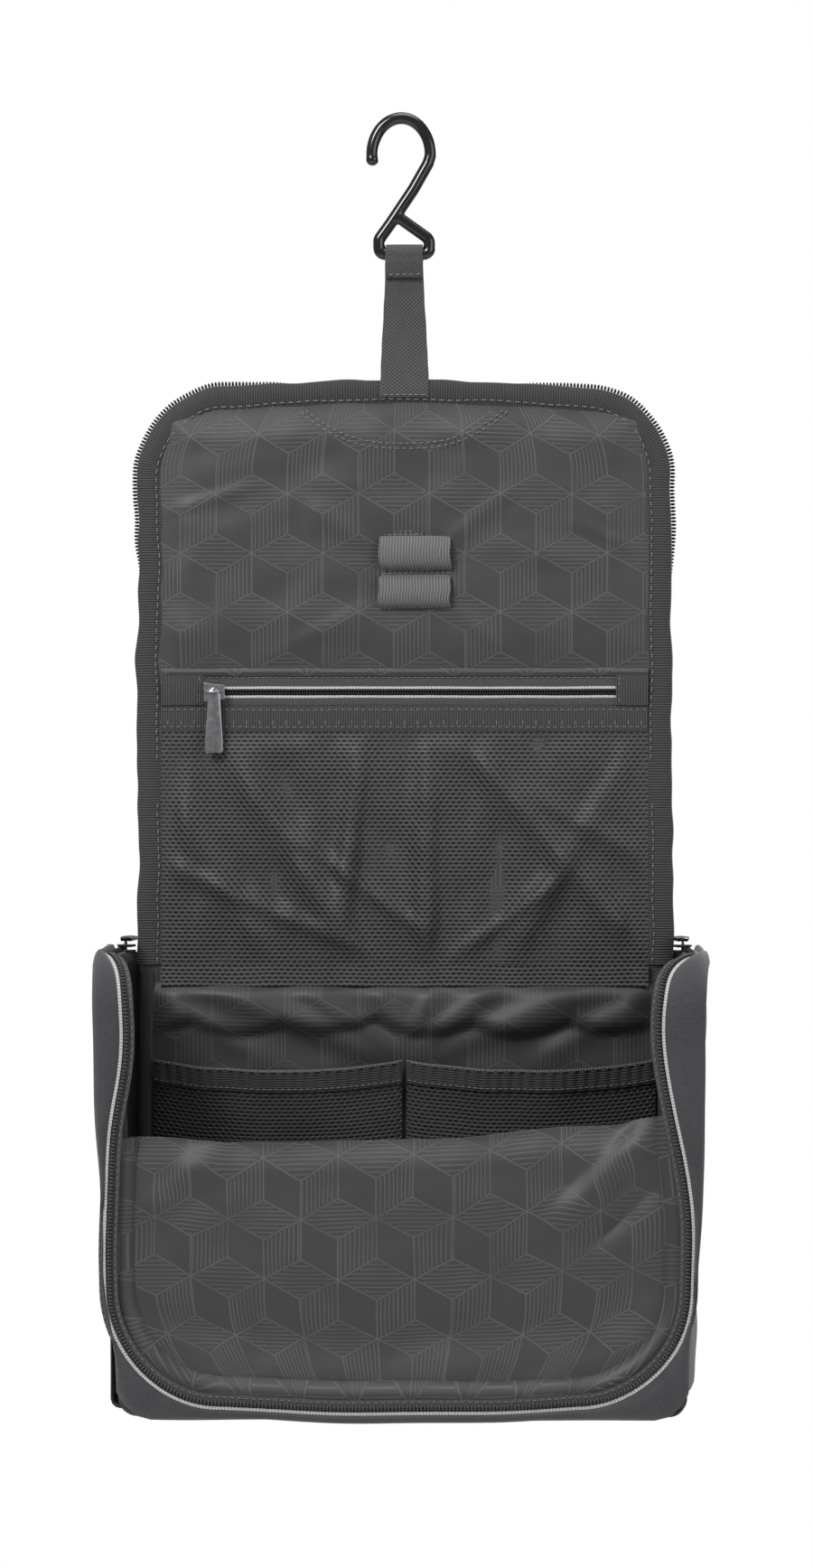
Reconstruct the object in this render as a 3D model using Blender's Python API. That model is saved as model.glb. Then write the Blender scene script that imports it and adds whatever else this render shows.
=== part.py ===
"""A hanging toiletry bag, open and hung by its hook.

Metres, +Z up, +X to the right and -Y towards whoever faces the open bag. The origin is the hook's
saddle, the point that rests on a rail. The bag is a soft box whose lid folds in two places: the
lid's top part covers the box's depth and its front part covers the box's height, and a zip
runs round both. Every fold is an axis on the lining side, where the layers meet when it shuts.
"""

import math

import bmesh
import bpy
from mathutils import Vector

MM = 0.001
GAP = 0.3 * MM  # between pieces that touch
ARC_STEPS = 6  # straight pieces in a quarter turn

# Hook
HOOK_ROD = 5.7 * MM
HOOK_MOUTH = 21.5 * MM  # inside the bend
HOOK_BEND_HEIGHT = 16.8 * MM  # from the bend's middle up to the rod's centre line
HOOK_OFFSET = -1.4 * MM  # the bend sits a little left of the strap
HOOK_DROP = 60.5 * MM  # from the saddle down to the bar's centre
HOOK_BAR = 23.5 * MM  # between the centre lines of the eye's two corners
HOOK_EYE_CORNER = 3 * MM
HOOK_SHOULDER = 7 * MM  # the eye's straight sides, up from the bar
HOOK_NECK_DROP = 26 * MM  # from the saddle down to where the bend runs into the shank
HOOK_LEG_DROP = 42.5 * MM  # from the saddle down to where the second leg meets the shank

# Strap
STRAP_THICKNESS = 1.5 * MM
STRAP_WIDTH = 22 * MM
STRAP_NECK = 16 * MM  # its width in the hook's eye
STRAP_REACH = 58.5 * MM  # from the bar's centre down to the lid's free end
STRAP_TAIL = 8 * MM  # the folded-over end, below the bar's centre
STRAP_SEWN = 7.5 * MM  # the end sewn over the lid's binding

# Lid
LID_WIDTH = 248 * MM
LID_FRONT_LENGTH = 185 * MM
LID_TOP_LENGTH = 87 * MM
LID_CORNER = 42 * MM
LID_ARCH = 3 * MM
FOLD_SPACE = 0.6 * MM  # from a fold's axis to the layers on each side of it
SHELL_THICKNESS = 0.8 * MM
FOAM_THICKNESS = 3 * MM
LINING_THICKNESS = 0.6 * MM
BINDING_THICKNESS = 0.8 * MM
BINDING_WIDTH = 10.5 * MM
MESH_THICKNESS = 0.8 * MM
PATCH_WIDTH = 98 * MM
PATCH_HEIGHT = 18.5 * MM

# Zips
COIL_WIDTH = 2.4 * MM
COIL_THICKNESS = 2.2 * MM
TAPE_THICKNESS = 0.8 * MM
LID_TAPE_WIDTH = 8 * MM
LID_COIL_SPACE = 1 * MM  # from the lid's edge out to its coil
SLIDER_POST = 2.2 * MM
SLIDER_PLAY = 0.4 * MM  # from a slider's post to each coil
SLIDER_LENGTH = 10 * MM
SLIDER_PLATE = 1.2 * MM
SLIDER_SIDE = 0.7 * MM  # how far the plates reach past the coils
BRIDGE_WIDTH = 2 * MM
BRIDGE_LENGTH = 6.4 * MM
BRIDGE_LEG = 1.2 * MM
BRIDGE_THICKNESS = 1 * MM
PULL_THICKNESS = 1.4 * MM
PULL_LENGTH = 27 * MM
PULL_WIDTH = 7.8 * MM
PULL_ARM = 1.2 * MM
PULL_PLAY = 0.4 * MM
KNUCKLE_RADIUS = 1.9 * MM  # of the pocket pull, round its bar
KNUCKLE_BORE = 1.1 * MM
POCKET_SLIDER_WIDTH = 7.8 * MM
ZIP_START = 32 * MM  # from the lid's hinge to the start of the lid's own zip, past the pulls
MAIN_SLIDER_START = 6 * MM  # from the lid's hinge forward to a parked slider

# Pocket in the lid
POCKET_ZIP_RISE = 40 * MM  # above the lid's fold
POCKET_COIL_HALF = 1.35 * MM
POCKET_COIL_PLAY = 0.15 * MM
POCKET_TAPE_UPPER = 6.6 * MM
POCKET_TAPE_LOWER = 4.2 * MM
POCKET_TAB_LEFT = 18 * MM
POCKET_TAB_RIGHT = 13.5 * MM
POCKET_SLIDER_START = 1.5 * MM  # from the left tab to the slider's near end
POCKET_BAND = 11.7 * MM

# Elastic toothbrush loops
LOOPS_SHARE = 0.384  # of the front part's length, from its free end to the first sewn row
LOOP_PITCH = 18 * MM
LOOP_SEWN = 3 * MM
LOOP_RISE = 7.2 * MM
LOOP_WIDTH = 32 * MM
LOOP_SHIFT = 5 * MM  # right of the lid's middle
ELASTIC_THICKNESS = 1 * MM

# Box
BOX_TAPE_SHOWN = 3.2 * MM  # from the box's coil out to the box's side
BOX_OUTER_CORNER = 16 * MM
BOX_TOP_CORNER = 16 * MM  # between the top edge and the front edge, at the fold's level
REAR_MARGIN = 2 * MM  # from the lid's edge out to the box's side, at the back
REAR_INSET_DEPTH = 32 * MM
CORNER_SPLIT = 1  # degrees from a lower corner's middle to the wall and to the floor
MARGIN_WIDTH = 5 * MM
MARGIN_THICKNESS = 0.8 * MM
BOARD_THICKNESS = 2 * MM
FRONT_WALL_RECESS = 9.2 * MM  # behind the closed lid
FRONT_WALL_TOP = 72 * MM  # below the hinge
FRONT_WALL_DIP = 5 * MM
BOX_POCKET_TOP = 43 * MM  # below the hinge
BOX_POCKET_BULGE = 9 * MM
BOX_POCKET_SAG = 4.5 * MM
BOX_POCKET_ELASTIC = 10 * MM
BOX_POCKET_FOOT = 3 * MM  # above the floor's layers, which rise at the corners
BOX_POCKET_SIDE = 5 * MM  # from the back's side edge to the pocket
SEAM_TAPE = 4 * MM

# Levels, from the saddle down
BAR_Z = -HOOK_DROP
LID_END_Z = BAR_Z - STRAP_REACH
FOLD_Z = LID_END_Z - LID_FRONT_LENGTH
HINGE_Z = FOLD_Z - LID_TOP_LENGTH
POCKET_ZIP_Z = FOLD_Z + POCKET_ZIP_RISE

# The lid's layers, from the lining side back
BINDING_Y = STRAP_THICKNESS / 2 + GAP
LINING_Y = BINDING_Y + BINDING_THICKNESS + GAP
FOAM_Y = LINING_Y + LINING_THICKNESS + GAP
SHELL_Y = FOAM_Y + FOAM_THICKNESS + GAP
LID_BACK_Y = SHELL_Y + SHELL_THICKNESS + GAP + BINDING_THICKNESS
LID_TAPE_Y = LID_BACK_Y + GAP
AXIS_Y = BINDING_Y - GAP

# Heights above the plane of the shut lid's lining side, and places outward from its edge
ZIP_HEIGHT = LID_TAPE_Y + TAPE_THICKNESS / 2 - AXIS_Y
PLATE_INSIDE = COIL_THICKNESS / 2 + GAP
PLATE_OUTSIDE = PLATE_INSIDE + SLIDER_PLATE
MARGIN_TOP = ZIP_HEIGHT - PLATE_OUTSIDE - 2 * GAP
MARGIN_UNDER = MARGIN_TOP - MARGIN_THICKNESS
LID_COIL_END = LID_COIL_SPACE + COIL_WIDTH
ZIP_CENTRE = LID_COIL_END + SLIDER_PLAY + SLIDER_POST / 2
STRAP_FOLD_Z = LID_END_Z + ZIP_CENTRE  # so that the strap leaves between the two coils
BOX_COIL_START = ZIP_CENTRE + SLIDER_POST / 2 + SLIDER_PLAY
BOX_COIL_END = BOX_COIL_START + COIL_WIDTH
BOX_MARGIN = BOX_COIL_END + BOX_TAPE_SHOWN
REAR_INSET = BOX_MARGIN - REAR_MARGIN
BOX_BOTTOM_Z = HINGE_Z - LID_FRONT_LENGTH - BOX_MARGIN
FRONT_Y = AXIS_Y - LID_TOP_LENGTH

BACK_Y = SHELL_Y + SHELL_THICKNESS
PANEL_FRONT_Y = FRONT_Y - MARGIN_UNDER + GAP
PANEL_TOP = MARGIN_UNDER - GAP


# ---------------------------------------------------------------- building blocks


def clear_scene():
    for obj in list(bpy.data.objects):
        bpy.data.objects.remove(obj, do_unlink=True)


def material(name, colour, roughness, metallic=0.0):
    found = bpy.data.materials.new(name)
    found.use_nodes = True
    shader = found.node_tree.nodes["Principled BSDF"]
    shader.inputs["Base Color"].default_value = (*colour, 1.0)
    shader.inputs["Roughness"].default_value = roughness
    shader.inputs["Metallic"].default_value = metallic
    found.diffuse_color = (*colour, 1.0)
    return found


def axis_empty(name, place, parent=None):
    """An empty on a joint's axis, which the joint's pieces hang from."""
    empty = bpy.data.objects.new(name, None)
    empty.empty_display_size = 0.01
    empty["place"] = place
    empty.location = Vector(place) - (Vector(parent["place"]) if parent else Vector())
    empty.parent = parent
    bpy.context.scene.collection.objects.link(empty)
    return empty


def piece(name, bm, finish, parent):
    """Turns a bmesh drawn in the bag's frame into an object that hangs from its joint's empty."""
    bmesh.ops.recalc_face_normals(bm, faces=bm.faces)
    place = Vector(parent["place"])
    bmesh.ops.translate(bm, verts=bm.verts, vec=-place)
    mesh = bpy.data.meshes.new(name)
    bm.to_mesh(mesh)
    bm.free()
    mesh.materials.append(finish)
    mesh.shade_smooth()
    mesh.set_sharp_from_angle(angle=math.radians(35))
    obj = bpy.data.objects.new(name, mesh)
    obj.parent = parent
    bpy.context.scene.collection.objects.link(obj)
    return obj


def helper(name, bm, parent):
    obj = piece(name, bm, parent["finish"], parent)
    obj.hide_render = True
    obj.display_type = "WIRE"
    return obj


def boolean(obj, tool, operation):
    step = obj.modifiers.new(tool.name, "BOOLEAN")
    step.operation = operation
    step.solver = "EXACT"
    step.object = tool


def loft(rings):
    """A closed skin through rings of points that all have the same number of points."""
    bm = bmesh.new()
    rows = [[bm.verts.new(point) for point in ring] for ring in rings]
    for low, high in zip(rows, rows[1:]):
        for i in range(len(low)):
            j = (i + 1) % len(low)
            bm.faces.new((low[i], low[j], high[j], high[i]))
    bm.faces.new(rows[0])
    bm.faces.new(rows[-1])
    return bm


def brick(low, high):
    (x0, y0, z0), (x1, y1, z1) = low, high
    foot = [(x0, y0), (x1, y0), (x1, y1), (x0, y1)]
    return loft([[(x, y, z) for x, y in foot] for z in (z0, z1)])


def plate(outline, y0, y1):
    """A flat piece with an (x, z) outline, between two depths."""
    return loft([[(x, y, z) for x, z in outline] for y in (y0, y1)])


def across(outline, x0, x1):
    """A piece with a (y, z) outline, between two widths."""
    return loft([[(x, y, z) for y, z in outline] for x in (x0, x1)])


def band(frames, section):
    """Carries a section of (outward, up) points along frames of (point, outward, up)."""
    return loft([[point + out * a + up * b for a, b in section(out)] for point, out, up in frames])


def fixed(*section):
    """A section that stays the same along the whole band."""
    return lambda _: section


def rectangle(a0, a1, b0, b1):
    return ((a0, b0), (a1, b0), (a1, b1), (a0, b1))


def quarter(steps=ARC_STEPS, end=math.pi / 2):
    return [end * i / steps for i in range(steps + 1)]


def ribbon(points, thickness):
    """The outline of a strip of even thickness whose middle follows the points."""
    left, right = [], []
    for i, point in enumerate(points):
        before, after = points[max(i - 1, 0)], points[min(i + 1, len(points) - 1)]
        along = (Vector(after) - Vector(before)).normalized()
        side = Vector((-along.y, along.x)) * thickness / 2
        left.append(tuple(Vector(point) + side))
        right.append(tuple(Vector(point) - side))
    return left + right[::-1]


# ---------------------------------------------------------------- hook and strap


def rod(points, radius, sides=10, round_start=False):
    """A round rod along (x, z) points in the plane y = 0, with a domed start if asked."""
    points = [Vector((x, 0, z)) for x, z in points]
    widths = [1.0] * len(points)
    if round_start:
        along = (points[1] - points[0]).normalized()
        dome = [(1.0, 0.35), (0.8, 0.72), (0.45, 0.93)]
        points = [points[0] - along * radius * back for back, _ in dome] + points
        widths = [width for _, width in dome] + widths
    rings = []
    for i, point in enumerate(points):
        before, after = points[max(i - 1, 0)], points[min(i + 1, len(points) - 1)]
        along = (after - before).normalized()
        side, up = Vector((along.z, 0, -along.x)), Vector((0, 1, 0))
        turns = [2 * math.pi * k / sides for k in range(sides)]
        reach = radius * widths[i]
        rings.append([point + (side * math.cos(t) + up * math.sin(t)) * reach for t in turns])
    return loft(rings)


def rounded_corner(corner, before, after, radius, steps=5):
    """The arc that replaces a corner between two straight runs."""
    corner = Vector(corner)
    come = (Vector(before) - corner).normalized()
    leave = (Vector(after) - corner).normalized()
    half = come.angle(leave) / 2
    centre = corner + (come + leave).normalized() * radius / math.sin(half)
    start = corner + come * radius / math.tan(half) - centre
    end = corner + leave * radius / math.tan(half) - centre
    return [tuple(centre + start.slerp(end, i / steps).normalized() * radius) for i in range(steps + 1)]


def hook_path():
    """The rod from its tip over the bend, down the shank and round the eye, then the second leg."""
    bend = (HOOK_MOUTH + HOOK_ROD) / 2
    middle = HOOK_ROD / 2 - HOOK_BEND_HEIGHT
    turns = [math.radians(185 - i * 15) for i in range(14)]
    over = [
        (HOOK_OFFSET + bend * math.cos(t), middle + HOOK_BEND_HEIGHT * math.sin(t)) for t in turns
    ]
    neck = (HOOK_OFFSET + bend * 0.7, -HOOK_NECK_DROP)
    corners = [(side * HOOK_BAR / 2, BAR_Z) for side in (-1, 1)]
    shoulders = [(x, z + HOOK_SHOULDER) for x, z in corners]
    down = (neck[1] + HOOK_LEG_DROP) / (neck[1] - shoulders[0][1])
    meet = tuple(a + (b - a) * down for a, b in zip(neck, shoulders[0]))
    eye = [
        (shoulders[0], neck, corners[0]),
        (corners[0], shoulders[0], corners[1]),
        (corners[1], corners[0], shoulders[1]),
        (shoulders[1], corners[1], meet),
    ]
    bends = [rounded_corner(*corner, HOOK_EYE_CORNER) for corner in eye]
    main = over + [neck] + [point for bend in bends for point in bend]
    return main, [main[-1], meet]


def make_hook(root, plastic):
    main, leg = hook_path()
    hook = piece("hook", rod(main, HOOK_ROD / 2, round_start=True), plastic, root)
    root["finish"] = plastic
    second = helper("hook_leg_tool", rod(leg, HOOK_ROD / 2 * 0.97), root)
    boolean(hook, second, "UNION")


def make_strap(joint, webbing):
    """One strip of webbing: up the back, round the bar, and down to a short tail in front."""
    half = STRAP_THICKNESS / 2
    inner = HOOK_ROD / 2 + GAP
    outer = inner + STRAP_THICKNESS
    turns = [math.radians(a) for a in range(-20, 201, 20)]
    round_bar = [(outer * math.cos(t), BAR_Z + outer * math.sin(t)) for t in turns]
    tail = BAR_Z - STRAP_TAIL
    low = STRAP_FOLD_Z + STRAP_THICKNESS * 0.6
    outline = [(half, low), (half, tail - STRAP_THICKNESS), *round_bar]
    outline += [(-half - STRAP_THICKNESS, tail), (-half, tail - GAP), (-half, low)]
    bm = across(outline, -0.5, 0.5)
    for vert in bm.verts:
        share = min(1.0, max(0.0, (BAR_Z - vert.co.z) / (BAR_Z - LID_END_Z)))
        vert.co.x *= STRAP_NECK + (STRAP_WIDTH - STRAP_NECK) * share
    strap = piece("strap_webbing", bm, webbing, joint)
    joint["finish"] = webbing
    steps = [2 * math.pi * i / 16 for i in range(16)]
    hole = [(inner * math.cos(t), BAR_Z + inner * math.sin(t)) for t in steps]
    tool = helper("strap_hole_tool", across(hole, -STRAP_WIDTH, STRAP_WIDTH), joint)
    boolean(strap, tool, "DIFFERENCE")


# ---------------------------------------------------------------- lid


def mirrored(frames):
    """The frames, then the same ones on the right side in the order that closes a U."""
    flip = Vector((-1, 1, 1))
    return frames + [(point * flip, out * flip, up) for point, out, up in reversed(frames)]


def lid_edge():
    """Frames round the front part's free edge, at depth 0: up the left, over, down the right."""
    up = Vector((0, 1, 0))
    half, flat = LID_WIDTH / 2, LID_WIDTH / 2 - LID_CORNER
    centre = Vector((-flat, 0, LID_END_Z - LID_ARCH - LID_CORNER))
    slope = math.atan(2 * LID_ARCH / flat)
    frames = [(Vector((-half, 0, FOLD_Z + FOLD_SPACE)), Vector((-1, 0, 0)), up)]
    for turn in quarter(end=math.pi / 2 - slope):
        out = Vector((-math.cos(turn), 0, math.sin(turn)))
        frames.append((centre + out * LID_CORNER, out, up))
    for share in (0.75, 0.5, 0.25):
        out = Vector((-math.tan(slope) * share, 0, 1)).normalized()
        point = Vector((-flat * share, 0, LID_END_Z - LID_ARCH * share**2))
        frames.append((point, out, up))
    return mirrored(frames)


def lid_outline(inset):
    return [((p + out * -inset).x, (p + out * -inset).z) for p, out, _ in lid_edge()]


def binding_section():
    """A channel that wraps the lid's edge: its web outside, one leg on each face."""
    t, width = BINDING_THICKNESS, BINDING_WIDTH
    y0, y1 = BINDING_Y, LID_BACK_Y
    return (
        (0, y0), (0, y1), (-width, y1), (-width, y1 - t),
        (-t, y1 - t), (-t, y0 + t), (-width, y0 + t), (-width, y0),
    )


def lid_tape_section():
    edge = LID_COIL_SPACE - GAP
    return rectangle(edge - LID_TAPE_WIDTH, edge, LID_TAPE_Y, LID_TAPE_Y + TAPE_THICKNESS)


def coil_section(start, middle):
    """A coil's outline, a flattened hexagon, from its near side outwards."""
    half, lean = COIL_THICKNESS / 2, COIL_WIDTH * 0.25
    return (
        (start, middle),
        (start + lean, middle - half),
        (start + COIL_WIDTH - lean, middle - half),
        (start + COIL_WIDTH, middle),
        (start + COIL_WIDTH - lean, middle + half),
        (start + lean, middle + half),
    )


def make_lid_front(joint, finish):
    inside = BINDING_THICKNESS + GAP
    layers = (
        ("lid_front_lining", LINING_Y, LINING_THICKNESS, "lining"),
        ("lid_front_foam", FOAM_Y, FOAM_THICKNESS, "foam"),
        ("lid_front_shell", SHELL_Y, SHELL_THICKNESS, "shell"),
    )
    for name, y, thickness, kind in layers:
        piece(name, plate(lid_outline(inside), y, y + thickness), finish[kind], joint)
    edge = lid_edge()
    piece("lid_front_binding", band(edge, fixed(*binding_section())), finish["binding"], joint)
    piece("lid_front_zip_tape", band(edge, fixed(*lid_tape_section())), finish["tape"], joint)
    coil = coil_section(LID_COIL_SPACE, LID_TAPE_Y + TAPE_THICKNESS / 2)
    piece("lid_front_zip_coil", band(edge, fixed(*coil)), finish["coil"], joint)
    make_patch(joint, finish["shell"])
    make_strap_end(joint, finish["webbing"])


def make_patch(joint, shell):
    """The half-moon reinforcement on the outside, under the binding's edge, behind the strap."""
    top = LID_END_Z - LID_ARCH - BINDING_WIDTH - GAP
    turns = [math.pi * i / 12 for i in range(13)]
    moon = [(PATCH_WIDTH / 2 * math.cos(t), top - PATCH_HEIGHT * math.sin(t)) for t in turns]
    y = SHELL_Y + SHELL_THICKNESS + GAP
    piece("half_moon_patch", plate(moon, y, y + SHELL_THICKNESS), shell, joint)


def make_strap_end(joint, webbing):
    low = (-STRAP_WIDTH / 2, -STRAP_THICKNESS / 2, LID_END_Z - STRAP_SEWN)
    high = (STRAP_WIDTH / 2, STRAP_THICKNESS / 2, STRAP_FOLD_Z - STRAP_THICKNESS * 0.6)
    piece("strap_end", brick(low, high), webbing, joint)


def make_loops(joint, elastic):
    """One elastic strip sewn down along three rows, so that it stands up in two loops."""
    y = LINING_Y - GAP - ELASTIC_THICKNESS / 2
    top = LID_END_Z - LID_FRONT_LENGTH * LOOPS_SHARE
    run = LOOP_PITCH - LOOP_SEWN
    points = [(y, top + LOOP_SEWN / 2)]
    for loop in range(2):
        start = top - loop * LOOP_PITCH - LOOP_SEWN / 2
        for i in range(13):
            rise = LOOP_RISE * math.sin(math.pi * i / 12)
            points.append((y - rise, start - run * i / 12))
    points.append((y, top - 2 * LOOP_PITCH - LOOP_SEWN / 2))
    outline = ribbon(points, ELASTIC_THICKNESS)
    left, right = LOOP_SHIFT - LOOP_WIDTH / 2, LOOP_SHIFT + LOOP_WIDTH / 2
    piece("toothbrush_loops", across(outline, left, right), elastic, joint)


def make_pocket_zip(joint, finish):
    """The pocket's zip, its end tabs and the band that edges the mesh, all on the lining."""
    side = LID_WIDTH / 2 - BINDING_WIDTH - GAP
    back = LINING_Y - GAP
    front = back - TAPE_THICKNESS
    chain = POCKET_COIL_PLAY + POCKET_COIL_HALF
    tape = chain + GAP
    left, right = -side + POCKET_TAB_LEFT + GAP, side - POCKET_TAB_RIGHT - GAP
    strips = (
        ("pocket_zip_tape_upper", tape, tape + POCKET_TAPE_UPPER, front, "tape"),
        ("pocket_zip_tape_lower", -tape - POCKET_TAPE_LOWER, -tape, front, "tape"),
        ("pocket_zip_coil_upper", POCKET_COIL_PLAY, chain, back - COIL_THICKNESS, "coil"),
        ("pocket_zip_coil_lower", -chain, -POCKET_COIL_PLAY, back - COIL_THICKNESS, "coil"),
    )
    for name, low, high, y, kind in strips:
        part = brick((left, y, POCKET_ZIP_Z + low), (right, back, POCKET_ZIP_Z + high))
        piece(name, part, finish[kind], joint)
    low, high = POCKET_ZIP_Z - tape - POCKET_TAPE_LOWER, POCKET_ZIP_Z + tape + POCKET_TAPE_UPPER
    tabs = (("left", -side, left - GAP), ("right", right + GAP, side))
    for name, x0, x1 in tabs:
        part = brick((x0, front - TAPE_THICKNESS / 2, low), (x1, back, high))
        piece("pocket_zip_tab_" + name, part, finish["shell"], joint)
    top = low - GAP
    part = brick((-side, front, top - POCKET_BAND), (side, back, top))
    piece("pocket_top_band", part, finish["binding"], joint)
    mesh_top = top - POCKET_BAND - GAP
    part = brick((-side, back - MESH_THICKNESS, FOLD_Z + FOLD_SPACE), (side, back, mesh_top))
    piece("mesh_pocket_front", part, finish["mesh"], joint)
    return left


def make_lid_top(joint, finish):
    """The lid's top part: straight strips between the fold and the hinge."""
    low, high = HINGE_Z + FOLD_SPACE, FOLD_Z - FOLD_SPACE
    side = LID_WIDTH / 2 - BINDING_THICKNESS - GAP
    layers = (
        ("lid_top_lining", LINING_Y, LINING_THICKNESS, "lining"),
        ("lid_top_foam", FOAM_Y, FOAM_THICKNESS, "foam"),
        ("lid_top_shell", SHELL_Y, SHELL_THICKNESS, "shell"),
    )
    for name, y, thickness, kind in layers:
        part = brick((-side, y, low), (side, y + thickness, high))
        piece(name, part, finish[kind], joint)
    inner = LID_WIDTH / 2 - BINDING_WIDTH - GAP
    back = LINING_Y - GAP
    part = brick((-inner, back - MESH_THICKNESS, low), (inner, back, high))
    piece("mesh_pocket_top", part, finish["mesh"], joint)
    coil = coil_section(LID_COIL_SPACE, LID_TAPE_Y + TAPE_THICKNESS / 2)
    for name, hand in (("left", -1), ("right", 1)):
        trims = (
            ("lid_top_binding_", binding_section(), low, "binding"),
            ("lid_top_zip_tape_", lid_tape_section(), HINGE_Z + ZIP_START, "tape"),
            ("lid_top_zip_coil_", coil, HINGE_Z + ZIP_START, "coil"),
        )
        for start, section, foot, kind in trims:
            ends = [Vector((hand * LID_WIDTH / 2, 0, z)) for z in (foot, high)]
            frames = [(end, Vector((hand, 0, 0)), Vector((0, 1, 0))) for end in ends]
            piece(start + name, band(frames, fixed(*section)), finish[kind], joint)


# ---------------------------------------------------------------- box


def box_corner_reach(turn):
    """How far the box's squarer outer corner lies from the corner arc's centre, at a turn."""
    side = LID_CORNER + BOX_MARGIN
    flat = side - BOX_OUTER_CORNER
    if side * min(math.tan(turn), 1 / max(math.tan(turn), 1e-9)) <= flat:
        return side / max(math.cos(turn), math.sin(turn))
    lean = flat * (math.cos(turn) + math.sin(turn))
    return lean + math.sqrt(lean**2 - 2 * flat**2 + BOX_OUTER_CORNER**2)


def margin_reach(out):
    """How far the box's outside lies from the lid's shut edge, towards out."""
    down, sideways = max(-out.z, 0.0), abs(out.x)
    return box_corner_reach(math.atan2(down, sideways)) - LID_CORNER


def top_edge_frames():
    """Frames along the left side's top edge and round its front corner."""
    half, radius = LID_WIDTH / 2, BOX_TOP_CORNER
    out = Vector((-1, 0, 0))
    centre = Vector((-half, FRONT_Y + radius, HINGE_Z - radius))
    frames = [(Vector((-half, AXIS_Y, HINGE_Z)), out, Vector((0, 0, 1)))]
    for turn in quarter():
        up = Vector((0, -math.sin(turn), math.cos(turn)))
        frames.append((centre + up * radius, out, up))
    return frames


def bottom_corner_frames():
    """Frames round the lower left corner of the box's front edge."""
    half, up = LID_WIDTH / 2, Vector((0, -1, 0))
    centre = Vector((LID_CORNER - half, FRONT_Y, HINGE_Z - LID_FRONT_LENGTH + LID_CORNER))
    turns = sorted(quarter(8) + [math.radians(40), math.radians(50)])
    outs = [Vector((-math.cos(t), 0, -math.sin(t))) for t in turns]
    return [(centre + out * LID_CORNER, out, up) for out in outs]


def box_edge():
    return mirrored(top_edge_frames() + bottom_corner_frames())


def make_margin_and_zip(joint, finish):
    """The margin strip round the opening, and the half of the main zip that stands on it."""

    def margin(out):
        reach = margin_reach(out)
        return rectangle(BOX_MARGIN - MARGIN_WIDTH, reach, MARGIN_UNDER, MARGIN_TOP)

    edge = box_edge()
    piece("front_margin", band(edge, margin), finish["shell"], joint)
    foot, top = MARGIN_TOP + GAP, ZIP_HEIGHT + TAPE_THICKNESS / 2
    outside = BOX_MARGIN - GAP
    under = top - TAPE_THICKNESS
    tape = (
        (BOX_COIL_END + GAP, under),
        (outside - TAPE_THICKNESS, under),
        (outside - TAPE_THICKNESS, foot),
        (outside, foot),
        (outside, top),
        (BOX_COIL_END + GAP, top),
    )
    piece("box_zip_tape", band(edge, fixed(*tape)), finish["tape"], joint)
    coil = coil_section(BOX_COIL_START, ZIP_HEIGHT)
    piece("box_zip_coil", band(edge, fixed(*coil)), finish["coil"], joint)


def narrowed(x, y):
    """The sides run in towards the back over the last stretch of the depth."""
    share = (y - (BACK_Y - REAR_INSET_DEPTH)) / REAR_INSET_DEPTH
    half = LID_WIDTH / 2 + BOX_MARGIN
    return x * (1 - REAR_INSET / half * min(1.0, max(0.0, share)))


def wall_top(inset):
    """(x, z, front y) of the left wall down its rounded upper front corner."""
    side = -LID_WIDTH / 2 - BOX_MARGIN + inset
    edges = [point + up * PANEL_TOP for point, _, up in top_edge_frames()[1:]]
    return [(side, edge.z, edge.y) for edge in edges]


def wall_corner(inset, low_inset, start, end):
    """(x, z, front y) round the left wall's lower corner, between two turns in degrees."""
    x = BOX_OUTER_CORNER - LID_WIDTH / 2 - BOX_MARGIN
    z = BOX_BOTTOM_Z + BOX_OUTER_CORNER
    rows = []
    for i in range(ARC_STEPS // 2 + 1):
        turn = math.radians(start + (end - start) * i * 2 / ARC_STEPS)
        out, down = BOX_OUTER_CORNER - inset, BOX_OUTER_CORNER - low_inset
        rows.append((x - out * math.cos(turn), z - down * math.sin(turn), PANEL_FRONT_Y))
    return rows


def wall_ring(row, inner_row, y_back):
    """The plan of a wall at one level: outside from front to back, then inside back again."""
    (x, z, front), (x_in, z_in, _) = row, inner_row
    depths = (front, BACK_Y - REAR_INSET_DEPTH, y_back)
    ring = [(narrowed(x, y), y, z) for y in depths]
    return ring + [(narrowed(x_in, y), y, z_in) for y in reversed(depths)]


def wall_rings(levels, thickness, inset, low_inset, y_back):
    """Rings of a wall of even thickness. levels(inset, low inset) gives its rows."""
    rows = zip(levels(inset, low_inset), levels(inset + thickness, low_inset + thickness))
    return [wall_ring(outer, inner, y_back) for outer, inner in rows]


def side_levels(inset, low_inset):
    return wall_top(inset) + wall_corner(inset, low_inset, 0, 45 - CORNER_SPLIT)


def floor_levels(inset, low_inset):
    return wall_corner(inset, low_inset, 45 + CORNER_SPLIT, 90)


def flipped(rings):
    return [[(-x, y, z) for x, y, z in ring] for ring in rings]


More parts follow.
